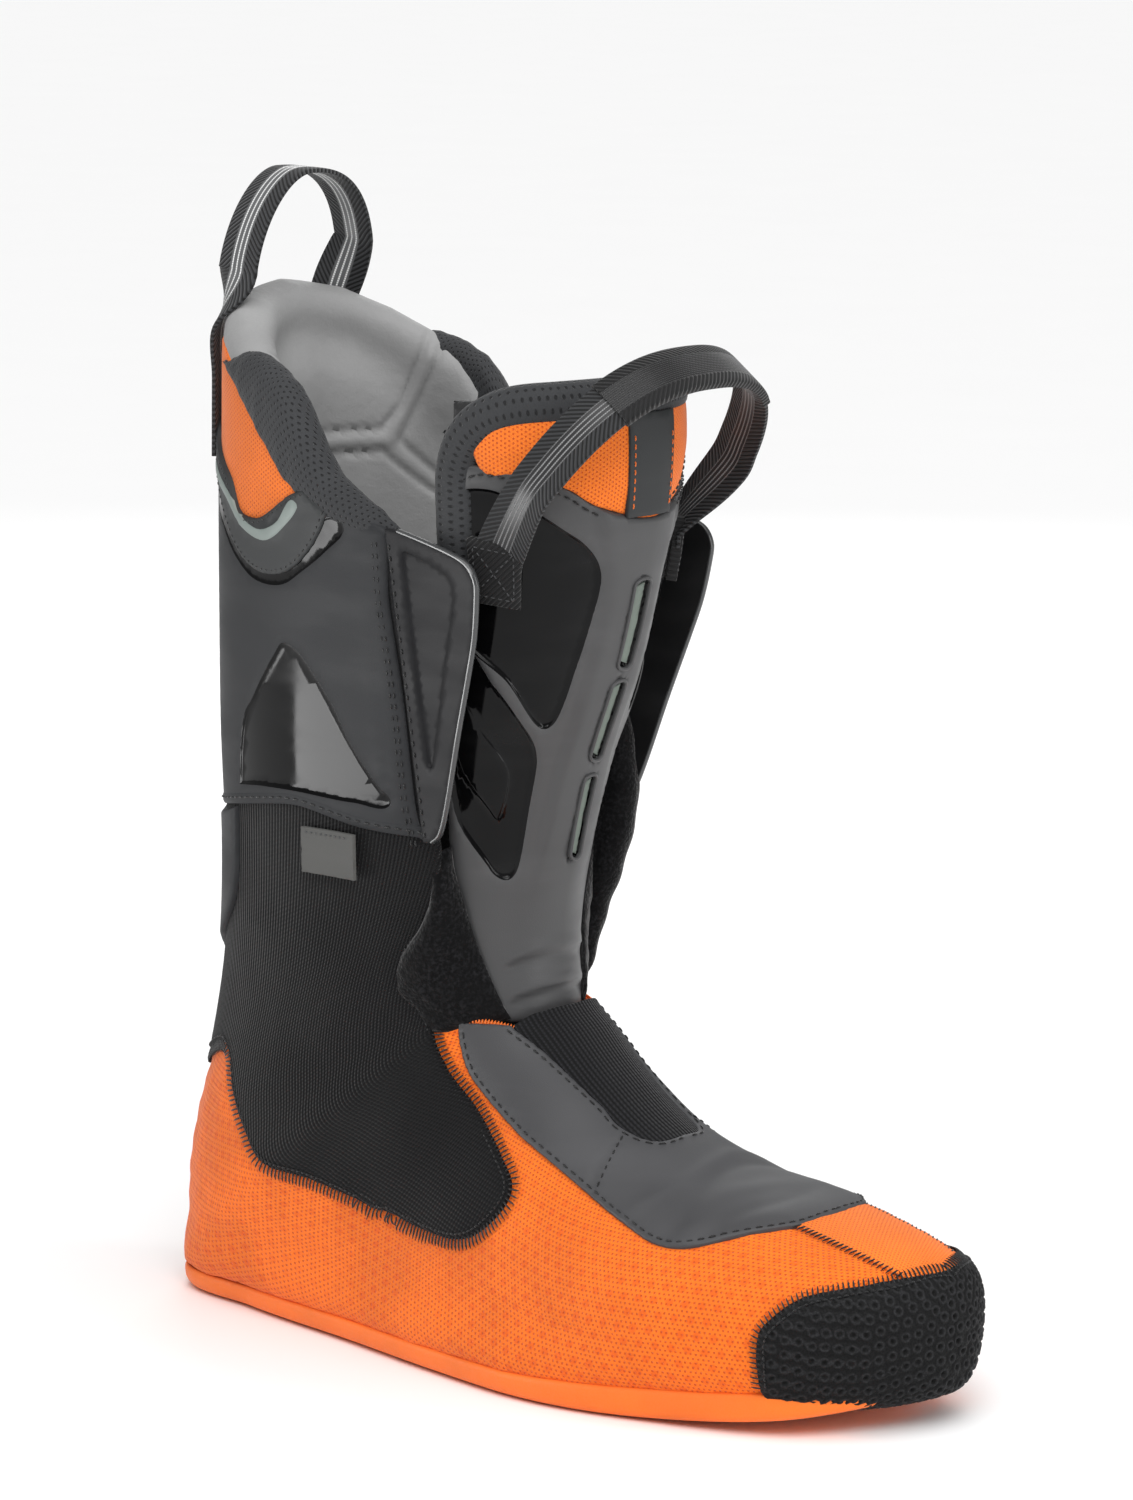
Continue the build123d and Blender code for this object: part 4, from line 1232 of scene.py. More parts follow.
def build_foot_seams():
    """Every line of stitching on the foot."""
    for name, side in SIDES:
        chart = BODY[name]
        runs = running_stitch(chart, VAMP_OUTER, 1.35, aside=-1.7)
        runs += running_stitch(chart, VAMP_INNER, 1.4, aside=-1.6)
        runs += running_stitch(chart, [(20, 7.2), (34, 7.0), (46, 6.85)], 1.6, 2.0, 0.9)
        thread(f"vamp_stitching_{name}", runs, "thread_black")
        zigzag = cross_stitch(chart, [(19, 4.8), (22, 4.0), (26, 3.2), (31, 2.4)], 0.8, 3.4, 1.6, 0.8)
        thread(f"toe_panel_seam_{name}", zigzag, "thread_black", radius=0.28)
        overlock = cross_stitch(chart, KNIT_LOWER, 0.9, 4.6, 1.7, 0.15, aside=-1.1)
        overlock += running_stitch(chart, KNIT_LOWER, 1.45, 1.6, 0.5, aside=1.6)
        thread(f"knit_overlock_{name}", overlock, "thread_black", radius=0.3)
        edge = cross_stitch(chart, KNIT_FRONT[:4], 1.0, 3.2, 1.5, 0.3)
        thread(f"knit_front_overlock_{name}", edge, "thread_black")
        cap = cross_stitch(chart, TOE_CAP_EDGE + [(112, 4.4)], 1.2, 4.2, 1.35, 0.3)
        cap += running_stitch(chart, TOE_CAP_EDGE + [(112, 4.4)], 1.75, 1.6, 0.5, aside=2.4)
        thread(f"toe_cap_overlock_{name}", cap, "thread_black", radius=0.28)


# ---- ankle and cuff --------------------------------------------------------------------------
def knit_swell(flat, point, gap):
    """The ankle panel bulges over the ankle bone and hollows behind it."""
    bone = np.exp(-(((point[:, 0] + 22) / 26) ** 2 + ((point[:, 2] - 78) / 24) ** 2))
    hollow = np.exp(-(((point[:, 0] + 72) / 30) ** 2 + ((point[:, 2] - 105) / 45) ** 2))
    return 1.6 * bone - 0.8 * hollow + 0.3 * smoothstep(gap / 5)


def build_ankle():
    for name, side in SIDES:
        outline = KNIT_LOWER + KNIT_FRONT[1:] + [(64, 15.8), (83, 16.2), (98, 16.5), (140, 16.6),
                                                 (180, 16.6)]
        outline = doubled(outline, 0, len(KNIT_LOWER) - 1, len(KNIT_LOWER) + 4, len(outline) - 1)
        piece = panel(f"ankle_knit_{name}", BODY[name], outline, 1.25, -1.3, ["knit"], 1.1, 2.6,
                      relief=knit_swell)
        finish_piece(piece, "liner", [f"ankle_panel_{name}"])


GLOSS_WINDOW = [(103, 17.7), (98, 17.62), (94, 17.45), (90, 17.19), (85.5, 16.79), (79, 16.35),
                (73.5, 15.97), (84, 16.1), (98, 16.34), (112, 16.46), (124, 16.5), (122, 16.85),
                (119, 17.12), (115, 17.24), (111, 17.4), (106, 17.6)]
CRESCENT = [(89, 18.72), (92, 18.5), (98, 18.3), (104, 18.18), (114, 18.2), (124, 18.35),
            (134, 18.55), (146, 18.75), (146, 19.0), (132, 18.85), (123, 18.55), (112, 18.42),
            (102, 18.42), (95, 18.6), (92, 18.8)]
PATCH = [(92, 18.84), (95, 18.55), (102, 18.3), (112, 18.27), (123, 18.42), (134, 18.7),
         (146, 19.0), (158, 19.12), (164, 19.2), (164, 19.55), (152, 19.4), (146, 19.25),
         (136, 19.1), (129, 18.98), (123, 18.74), (117, 18.7), (112, 18.72), (107, 18.82),
         (102, 18.95), (98, 19.02)]
V_STRIPE = [(99, 18.86), (104, 18.64), (109, 18.54), (114, 18.55), (121, 18.63), (129, 18.8),
            (139, 18.93), (146, 19.02), (146, 19.08), (138, 19.0), (128, 18.87), (120, 18.7),
            (114, 18.63), (110, 18.63), (105, 18.72), (101, 18.92)]
COLLAR_MESH = [(96, 18.9), (104, 18.7), (112, 18.6), (121, 18.6), (132, 18.66), (146, 18.72),
               (164, 18.72), (180, 18.7), (180, 20.25), (150, 20.25), (136, 20.15), (126, 19.95),
               (112, 19.6), (102, 19.1)]
RIDGE_A = [(75.5, 16.1), (81, 17.5), (85.5, 18.62)]
RIDGE_B = [(70, 15.85), (76.5, 17.3), (82.5, 18.7)]


def cuff_relief(flat, point, gap):
    """Two long ridges that follow the front seam of the moulded panel."""
    lift = np.zeros(len(flat))
    chart = BODY["lateral"]
    for places, width in ((RIDGE_A, 0.8), (RIDGE_B, 1.3)):
        line = smooth_path(chart.chart(places), step=1.0)
        tree = tree_of([(p[0], p[1], 0) for p in line])
        near = np.array([tree.find((p[0], p[1], 0))[2] for p in flat])
        lift += 0.55 * np.exp(-(near / width) ** 2)
    return lift


def build_cuff():
    for name, side in SIDES:
        chart = BODY[name]
        outline = [(61.5, 15.3), *CUFF_HEM[1:], (180, 18.9), (146, 18.95), (132, 18.7), (114, 18.45),
                   (102, 18.6), (92, 18.85), (84, 18.8), (79.5, 18.72), *SEAM[-2:0:-1]]
        outline = doubled(outline, 0, 6, 7, 13)
        windows = [Zone(doubled(GLOSS_WINDOW, 10), -0.6, 0.9, 1), Zone(CRESCENT, -0.3, 0.8, 1)]
        piece = panel(f"cuff_shell_{name}", chart, outline, 2.3, -0.4,
                      ["cuff_plastic", "gloss_plastic"], 1.3, 2.2, windows, cuff_relief,
                      outline_step=0.8)
        finish_piece(piece, "liner", [f"cuff_panel_{name}"])
        hem = sweep_along(f"cuff_hem_{name}", chart, CUFF_HEM, 1.3, ring_profile(4.2, 2.6, 10, 2.6),
                          "cuff_plastic", aside=-1.4)
        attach(hem, "liner")
        tape = sweep_along(f"seam_tape_{name}", chart, SEAM, 0.3, ring_profile(6.0, 1.6, 12, 3.0),
                           "elastic", aside=-1.6)
        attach(tape, "liner")
        stitches = running_stitch(chart, CUFF_HEM, 2.55, 2.4, 1.0, aside=-1.6)
        stitches += running_stitch(chart, SEAM, 2.45, 2.2, 1.2, aside=3.6)
        stitches += running_stitch(chart, SEAM, 2.45, 2.2, 1.2, aside=2.2)
        thread(f"cuff_stitching_{name}", stitches, "thread_black")

        patch = panel(f"collar_badge_{name}", chart, doubled(PATCH, 0, 8, 9, 19), 2.9, 0.2,
                      ["patch_plastic", "stripe"], 0.9, 2.0, [Zone(V_STRIPE, 0.25, 0.4, 1)])
        finish_piece(patch, "liner", [f"collar_patch_{name}"])
        around = running_stitch(chart, PATCH[:8], 2.75, 1.7, 0.7, aside=-1.2)
        around += running_stitch(chart, PATCH[:9:-1], 2.75, 1.7, 0.7, aside=1.2)
        thread(f"badge_stitching_{name}", around, "thread_black", radius=0.25)
        mesh = panel(f"collar_panel_{name}", chart, doubled(COLLAR_MESH, 0, 7, 8, 13), 1.3, -1.4,
                     ["orange_knit"], 1.2, 2.4)
        finish_piece(mesh, "liner", [f"collar_mesh_{name}"])


def sweep_along(name, chart, places, height, profile, material, aside=0.0, closed=False, step=1.5):
    """A band or roll with one cross-section along a line of places on a chart."""
    line = along_chart(chart, places, closed, step)
    if aside:
        line = moved_aside(chart, line, aside)
    point, normal, _, _ = chart.frame_at(line)
    verts, faces = sweep_mesh(point + normal * height, normal, profile, closed)
    size = np.asarray(profile).shape[-2]
    along = np.repeat(np.arange(len(line)) * step, size)
    around = np.tile(np.arange(size) * 1.2, len(line))
    obj = make_object(name, verts, faces, [material], texture=np.stack([around, along], -1))
    fix_normals(obj)
    return obj


# ---- collar, calf foam and lining ------------------------------------------------------------
def band_solid(name, angles, section, materials, shape, count):
    """A closed solid along a band of angles. section(angle) lists (station, depth) round it."""
    rings = []
    for angle in angles:
        outline = np.array(section(angle), float) * (30, 1)
        line = resample(smooth_path(outline, closed=True, step=1.0), 1.0, closed=True)
        at = np.linspace(0, len(line), count, endpoint=False)
        closed_line = np.concatenate([line, line[:1]])
        line = np.stack([np.interp(at, np.arange(len(line) + 1), closed_line[:, k])
                         for k in (0, 1)], -1)
        stations, depths = line[:, 0] / 30, line[:, 1]
        point = body_point(angle, stations, -depths)
        rings.append(point)
    grid = np.array(rings)
    grid = shape(grid, np.array(angles))
    rows, size = grid.shape[:2]
    faces = tube_faces(rows, size)
    faces.append(tuple(range(size))[::-1])
    faces.append(tuple((rows - 1) * size + k for k in range(size)))
    arc = arc_length(grid[:, 0])
    girth = np.arange(size) * 1.6
    texture = np.stack(np.broadcast_arrays(girth[None, :], arc[:, None]), -1).reshape(-1, 2)
    obj = make_object(name, grid.reshape(-1, 3), faces, materials, texture=texture, sharp=70)
    fix_normals(obj)
    return obj


CALF_TOP = [(108, 19.7), (114, 19.95), (123, 20.15), (138, 20.4), (156, 20.62), (180, 20.75)]


def calf_section(angle):
    """Cross-section of the calf foam: outer face, rolled rim and thick inner face."""
    folded = min(angle, 360 - angle)
    top = np.interp(folded, *np.transpose(CALF_TOP))
    share = smoothstep((folded - 108) / 52)
    inner = 8.6 + 11.5 * share
    roll = 11 + 4 * share
    return [(16.5, 2.2), (17.6, 2.2), (18.8, 2.2), (top - 0.72, 1.8), (top - 0.5, 0.2),
            (top - 0.3, -0.8), (top - 0.1, 0.0), (top + 0.02, 3.0), (top + 0.04, 6.5),
            (top - 0.04, roll * 0.85), (top - 0.22, roll), (top - 0.55, roll * 0.97),
            (top - 0.95, inner * 0.94), (top - 1.5, inner), (17.8, inner), (16.5, inner)]


def pressed(u, w, line, width):
    """How deep a pressed line is at flat places (u, w), 1 on the line and 0 away from it."""
    near = np.full(u.shape, 1e9)
    line = np.asarray(line, float)
    for p, q in zip(line[:-1], line[1:]):
        d = q - p
        t = np.clip(((u - p[0]) * d[0] + (w - p[1]) * d[1]) / (d @ d), 0, 1)
        near = np.minimum(near, np.hypot(u - p[0] - t * d[0], w - p[1] - t * d[1]))
    return np.exp(-(near / width) ** 2)


def emboss_calf(grid, angles):
    """Pressed ribs on the inner face. Places are (degrees from the back, height mm)."""
    axis = np.array([-37.0, 0.0])
    z = grid[..., 2]
    u = np.broadcast_to((angles - 180)[:, None], z.shape)
    toward = np.zeros_like(grid)
    toward[..., :2] = axis - grid[..., :2]
    toward = unit(toward)
    radius = np.hypot(grid[..., 0] + 37, grid[..., 1])
    outer = np.max(radius, axis=1, keepdims=True)
    face = smoothstep((outer - radius - 7) / 4) * smoothstep((z - 205) / 10)
    depth = np.zeros(z.shape)
    for line, width, amount in CALF_MARKS:
        depth += amount * pressed(u, z, line, width)
    return grid + toward * (depth * face)[..., None]


CALF_MARKS = [
    ([(-56, 306), (-46, 281.5), (-38, 275), (38, 274.5), (46, 281.5), (56, 306)], 0.9, -1.3),
    ([(-60, 254), (-39, 268), (39, 267.5), (60, 254)], 0.9, -1.3),
    ([(62, 305), (52, 281), (46.5, 270.5), (64, 257)], 1.1, -1.2),
    ([(-62, 305), (-52, 281), (-46.5, 270.5), (-64, 257)], 1.1, -1.2),
    ([(-56, 297), (-42, 271.5), (42, 271), (56, 297)], 2.0, 0.8),
]


def build_calf():
    angles = np.arange(108, 252.1, 1.0)
    calf = band_solid("calf_cushion", angles, calf_section, ["foam_grey"], emboss_calf, 220)
    return finish_piece(calf, "liner", ["calf_foam"])


BINDING_TOP = [(77, 18.72), (82, 18.86), (88, 18.98), (93, 19.16), (98, 19.42), (103, 19.75),
               (108, 19.98), (116, 20.14), (124, 20.2), (134, 20.14), (140, 20.05)]
BINDING_LOW = [(77, 18.55), (82, 18.64), (90, 18.74), (96, 18.86), (104, 19.08), (112, 19.4),
               (120, 19.68), (126, 19.86), (134, 20.0), (140, 20.02)]


def binding_section(angle):
    """Cross-section of the padded mesh that wraps the collar edge."""
    folded = abs(angle)
    top = np.interp(folded, *np.transpose(BINDING_TOP))
    low = np.interp(folded, *np.transpose(BINDING_LOW))
    slim = 0.5 + 0.5 * smoothstep((folded - 77) / 12)
    end = smoothstep((140 - folded) / 10)
    inner = 2 + (9.6 * slim - 2) * end
    puff = 1.7 * slim * end
    middle = (top + low) / 2
    return [(low, -1.5), (low * 0.6 + middle * 0.4, -puff - 0.9), (middle, -puff - 0.9),
            (top - 0.09, -puff * 0.8), (top, 1.4), (top + 0.02, inner * 0.5),
            (top - 0.07, inner * 0.9), (top - 0.3, inner), (top - 0.75, inner),
            (top - 1.0, inner - 0.8), (top - 1.0, 2.4), (low - 0.05, 2.0)]


def binding_folds(grid, angles):
    """Small puckers across the padded collar edge, deterministic."""
    wave = 0.25 * np.sin(np.abs(angles) * 1.15) * np.sin(np.abs(angles) * 0.31 + 1)
    centre = grid.mean(axis=1, keepdims=True)
    return grid + unit(grid - centre) * wave[:, None, None]


def build_collar():
    for name, side in SIDES:
        angles = side * np.arange(77, 140.1, 1.0)
        roll = band_solid(f"collar_roll_{name}", angles, binding_section, ["binding_mesh"],
                          binding_folds, 60)
        finish_piece(roll, "liner", [f"collar_binding_{name}"])


def build_inside():
    """Hidden foam, the fleece lining and the footbed."""
    parts = [
        ("forefoot_pad", "forefoot_foam",
         [(0, 4.6), (0, 8.8), (26, 9.3), (44, 9.85), (178, 9.85), (178, 4.6)],
         -1.9, -5.0, "foam_black", "black_foam", 0.7),
        ("ankle_pad", "ankle_foam", [(58, 10), (60, 11.1), (66, 12.5), (67, 13.5), (117, 13.5), (117, 10)],
         -1.9, -8.2, "foam_black", "black_foam", 0.8),
        ("cuff_pad", "cuff_foam", [(67, 13.7), (68, 15), (71, 16.4), (80, 18.5), (92, 18.9), (107, 19.6),
                                   (107, 16.4), (178, 16.3), (178, 13.7)],
         -1.9, -8.2, "foam_black", "black_foam", 0.8),
        ("inner_fleece", "lining", [(60, 10.8), (66, 12.5), (68, 13.6), (68.5, 15), (71, 16.4), (80, 18.4),
                                    (92, 18.8), (104, 19.4), (107, 16.6), (180, 16.4), (180, 10.8)],
         -8.5, -10.0, "fleece", "fleece", 0.5),
    ]
    for name, side in SIDES:
        for piece_name, node, outline, top, bottom, material, slot, fill in parts:
            piece = panel(f"{piece_name}_{name}", BODY[name], doubled(outline, *range(len(outline))),
                          top, bottom, [material], 1.4, 5.0)
            finish_piece(piece, "liner", [f"{node}_{name}"])
        outline = doubled([(0, 3.2), (0, 9.4), (40, 9.8), (138, 9.8), (138, 3.2)], *range(5))
        deep = BodyChart(side, depth=5.2)
        piece = panel(f"foot_fleece_{name}", deep, outline, 0.0, -1.2, ["fleece"], 0.8, 5.0)
        finish_piece(piece, "liner", [f"lining_{name}"])
    heel = [(120, 10), (120, 13.5), (180, 13.5), (240, 13.5), (240, 10), (180, 10)]
    piece = panel("heel_pad", BODY["lateral"], doubled(heel, 0, 1, 3, 4), -4.2, -8.3, ["foam_black"],
                  1.4, 5.0)
    finish_piece(piece, "liner", ["heel_foam"])
    build_footbed()
    build_toe_box()


def build_footbed():
    """A thin moulded insole, cupped at the heel."""
    stations = np.linspace(4.3, 10.4, 50)
    across = np.linspace(-1, 1, 25)
    grid = []
    for v in stations:
        left, right = body_point(152, v, -8.6), body_point(-152, v, -8.6)
        cup = 3.0 * smoothstep((v - 8.2) / 2)
        row = [(left + right) / 2 + (right - left) / 2 * s + (0, 0, cup * s * s + 3.2) for s in across]
        grid.append(row)
    grid = np.array(grid)
    lower = grid - (0, 0, 3.0)
    verts = np.concatenate([grid.reshape(-1, 3), lower.reshape(-1, 3)])
    faces = slab_faces(len(stations), len(across))
    obj = make_object("insole", verts, faces, ["fleece"], sharp=50)
    fix_normals(obj)
    finish_piece(obj, "liner", ["footbed"])


def build_toe_box():
    """The foam cup round the toes, open to the rear."""
    angles = np.arange(-180, 180, 10)
    rows = [(v, -1.95) for v in (0.75, 1.2, 1.8, 2.6, 3.5, 4.4)]
    rows += [(v, -4.9) for v in (4.4, 3.5, 2.6, 1.9)]
    grid = np.array([body_point(angles, v, off) for v, off in rows])
    size = len(angles)
    faces = tube_faces(len(rows), size)
    faces.append(tuple(range(size)))
    faces.append(tuple((len(rows) - 1) * size + k for k in range(size)))
    obj = make_object("toe_pad", grid.reshape(-1, 3), faces, ["foam_black"], sharp=50)
    fix_normals(obj)
    finish_piece(obj, "liner", ["toe_box_foam"])


def build_rear():
    """The moulded back plate with its stepped lower tab."""
    half = [(180, 18.62), (164, 18.6), (163, 18.2), (162, 16.6), (160, 16.32), (127, 16.3),
            (129, 15.6), (133, 15.3), (146, 15.1), (160, 14.95), (170, 14.7), (180, 14.6)]
    outline = half + [(360 - a, v) for a, v in reversed(half[1:-1])]
    channel = [(172, 15.4), (172, 18.2), (188, 18.2), (188, 15.4)]
    plate = panel("back_plate", BODY["lateral"], doubled(outline, 1, 5, 17, 21), 3.4, 1.4,
                  ["cuff_plastic", "gloss_plastic"], 1.2, 2.2,
                  [Zone(doubled(channel, 0, 1, 2, 3), -0.8, 1.0, 1)])
    finish_piece(plate, "liner", ["rear_plate"])
    seams = running_stitch(BODY["lateral"], [(166, 16.2), (167, 18.3)], 3.3)
    seams += running_stitch(BODY["lateral"], [(194, 16.2), (193, 18.3)], 3.3)
    thread("back_plate_stitching", seams, "thread_grey")
    centre = cross_stitch(BODY["lateral"], [(180, 11.4), (180, 14.0)], -0.7, 3.6, 1.6, 0.8)
    thread("heel_seam", centre, "thread_black")


# ---- tongue ----------------------------------------------------------------------------------
SHIELD_TOP = [(84, 278), (70, 277.5), (54, 275.5), (36, 271), (25, 266), (12, 262.5), (0, 261)]
UPPER_WINDOW = [(80, 268), (68, 271), (52, 266), (36, 258.5), (28, 254.5), (21, 248.5), (18.5, 242),
                (20.5, 229), (23.5, 214), (26, 202), (29, 198), (34, 197.5), (41, 201), (56, 212.5),
                (80, 228)]
LOWER_WINDOW = [(80, 222), (62, 211), (46, 200), (36, 192.5), (32.5, 187), (32, 182), (33, 172),
                (35, 158), (37.5, 152), (42, 149.5), (49, 150), (56, 153), (80, 173)]
RAISED_PAD = [(80, 205), (64, 195.5), (49, 186), (46, 181), (48.5, 170.5), (52, 168), (57, 170.5),
              (80, 188)]
SLOTS = ((214.5, 242.5), (185.5, 211), (154, 181))
RIDGE_EDGE = [(104, 30), (150, 24), (200, 16), (232, 13.5), (245, 15), (262, 20)]


def slot_outline(low, high, half=2.9):
    """A long slot with round ends, (angle, height) on the tongue."""
    turn = np.linspace(0, pi, 9)
    top = [(half * cos(t), high - 2.2 + 2.2 * sin(t)) for t in turn]
    bottom = [(-half * cos(t), low + 2.2 - 2.2 * sin(t)) for t in turn]
    return top + bottom


def shield_relief(flat, point, gap):
    """Centre ridge, base creases and the channel beside the ridge."""
    z = flat[:, 1]
    angle = np.abs(np.interp(flat[:, 0] / TONGUE_SCALE, TONGUE.shares, TONGUE.angles))
    edge = np.interp(z, *np.transpose(RIDGE_EDGE))
    lift = 1.5 * smoothstep((edge + 4 - angle) / 7) * smoothstep((z - 140) / 30)
    lift += 0.5 * np.exp(-((angle - edge - 1) / 2.2) ** 2) * smoothstep((z - 190) / 20)
    for level, depth, width in ((124, 1.1, 2.0), (113, 1.0, 1.8)):
        bend = level - 4.0 * (angle / 50) ** 2
        across = smoothstep((50 - angle) / 16)
        lift += across * (0.8 * np.exp(-((z - bend - 2.6) / 2.0) ** 2)
                          - depth * np.exp(-((z - bend) / width) ** 2))
    return lift


def symmetric(places):
    return [(-a, z) for a, z in reversed(places)]


def build_tongue():
    core = doubled([(84, 106), (84, 296), (-84, 296), (-84, 106)], 0, 1, 2, 3)
    piece = panel("tongue_cushion", TONGUE, core, -1.7, -9.2, ["foam_black"], 3.0, 4.0)
    finish_piece(piece, "tongue", ["tongue_foam"])
    inner = doubled([(80, 108), (80, 296), (-80, 296), (-80, 108)], 0, 1, 2, 3)
    piece = panel("tongue_fleece", TONGUE, inner, -9.4, -11.0, ["fleece"], 1.0, 4.0)
    finish_piece(piece, "tongue", ["tongue_lining"])

    outline = [(84, 104.5), *[(84, z) for z in (140, 180, 220)], *SHIELD_TOP,
               *[(-a, z) for a, z in reversed(SHIELD_TOP[:-1])],
               *[(-84, z) for z in (220, 180, 140)], (-84, 104.5)]
    outline = doubled(outline, 0, 4, len(outline) - 5, len(outline) - 1)
    zones = []
    zones += [Zone(slot_outline(low, high, 3.6), -1.5, 0.5, 1) for low, high in SLOTS]
    for places, depth, bevel, material in ((UPPER_WINDOW, -1.3, 1.1, 1), (LOWER_WINDOW, -1.3, 1.1, 1),
                                           (RAISED_PAD, 0.9, 0.9, 1)):
        zones += [Zone(places, depth, bevel, material), Zone(symmetric(places), depth, bevel, material)]
    piece = panel("tongue_shell", TONGUE, outline, 0.45, -1.2, ["shield_plastic", "gloss_plastic"],
                  1.2, 1.9, zones, shield_relief)
    finish_piece(piece, "tongue", ["tongue_shield"])
    stitches = running_stitch(TONGUE, [(-80, 275), *symmetric(SHIELD_TOP)[1:], *SHIELD_TOP[-2:0:-1],
                                       (80, 275)][::-1], 0.75, 2.6, 1.1, aside=-2.2)
    thread("shell_stitching", stitches, "thread_black", "tongue")

    for low, high in SLOTS:
        strip = [(-0.8, low + 1.4), (-0.8, high - 1.4), (2.7, high - 2.6), (2.7, low + 2.6)]
        insert = panel(f"slot_insert_{int(low)}", TONGUE, doubled(strip, 0, 1, 2, 3), 1.5, 0.3,
                       ["slot_insert"], 0.4, 1.1, outline_step=0.7)
        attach(insert, "tongue")
        rim = sweep_along(f"slot_rim_{int(low)}", TONGUE, slot_outline(low, high, 4.2), 2.0,
                          ring_profile(1.3, 1.5, 8), "shield_plastic", closed=True, step=0.9)
        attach(rim, "tongue")
    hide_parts("tongue_slot_inserts")

    mesh = [(70, 276), *SHIELD_TOP[2:-1], (0, 259), *symmetric(SHIELD_TOP[2:-1]), (-70, 276), (-72, 292),
            (-50, 297), (0, 298), (50, 297), (72, 292)]
    piece = panel("tongue_mesh", TONGUE, mesh, 0.6, -1.4, ["orange_knit"], 1.0, 2.4,
                  relief=lambda flat, point, gap: 0.8 * smoothstep(gap / 9))
    finish_piece(piece, "tongue", ["tongue_top_mesh"])
    tab = [(11.5, 261.5), (12, 292), (-12, 292), (-11.5, 261.5)]
    piece = panel("tongue_label", TONGUE, doubled(tab, 0, 1, 2, 3), 2.3, 0.6, ["patch_plastic"], 0.6, 2.0)
    finish_piece(piece, "tongue", ["tongue_tab"])
    seams = running_stitch(TONGUE, [(9.6, 264), (10, 288)], 2.2, 1.8, 0.8)
    seams += running_stitch(TONGUE, [(-9.6, 264), (-10, 288)], 2.2, 1.8, 0.8)
    thread("label_stitching", seams, "thread_orange", "tongue", 0.25)

    edge = [(83, 246), (83, 262), (82, 276), (76, 287), (62, 293.5), (40, 295.5), (0, 296)]
    path = edge + [(-a, z) for a, z in reversed(edge[:-1])]
    roll = sweep_along("tongue_roll", TONGUE, path, -4.6, ring_profile(14, 13.6, 22, 2.4),
                       "binding_mesh", step=1.6)
    finish_piece(roll, "tongue", ["tongue_binding"])
    for name, side in SIDES:
        chart = TongueChart(side)
        patch = doubled([(53, 236), (54.5, 255), (75, 257), (73.5, 238)], 0, 1, 2, 3)
        piece = panel(f"loop_patch_{name}", chart, patch, 3.9, 0.5, ["sleeve"], 0.7, 2.0)
        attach(piece, "tongue")
        if side > 0:
            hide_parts("tongue_loop_patches")
        frame_line = doubled([(56, 238.5), (57, 252.5), (72.5, 254.5), (71.5, 240.5), (56, 238.5)],
                             1, 2, 3)
        box = running_stitch(chart, frame_line, 3.85, 1.5, 0.6)
        box += running_stitch(chart, [(56, 238.5), (72.5, 254.5)], 3.85, 1.5, 0.6)
        box += running_stitch(chart, [(57, 252.5), (71.5, 240.5)], 3.85, 1.5, 0.6)
        thread(f"loop_patch_stitching_{name}", box, "thread_grey", "tongue", 0.22)


def loop_mesh(name, points, normals, width, thickness, material):
    """A flat band of webbing along a smooth line through points, with its pattern map."""
    dense = resample(smooth_path(np.column_stack([points, np.asarray(normals) * 10]), step=1.5), 1.5)
    line, up = dense[:, :3], unit(dense[:, 3:])
    profile = ring_profile(width, thickness, 28, 6.0)
    verts, faces = sweep_mesh(line, up, profile)
    across = np.tile(profile[:, 0], len(line))
    along = np.repeat(arc_length(line), len(profile))
    obj = make_object(name, verts, faces, [material], texture=np.stack([across, along], -1))
    fix_normals(obj)
    return obj


def arch_points(base, apex, half_widths, start, end, count=17, powers=(2.5, 2.5)):
    """Points and outward normals of an arch across the boot that leans from base to apex.
    half_widths and powers, which say how square it is, are for its outer and inner side."""
    base, apex = np.array(base, float), np.array(apex, float)
    lean = apex - base
    points, normals = [], []
    for turn in np.radians(np.linspace(start, end, count)):
        part = 0 if cos(turn) > 0 else 1
        power, half_width = powers[part], half_widths[part]
        side = -signed_power(cos(turn), power) * half_width
        rise = signed_power(sin(turn), power)
        points.append(base + lean * rise + (0, side, 0))
        normals.append(unit(np.array([0, side / half_width, 0]) + unit(lean) * rise ** 2))
    return np.array(points), np.array(normals)


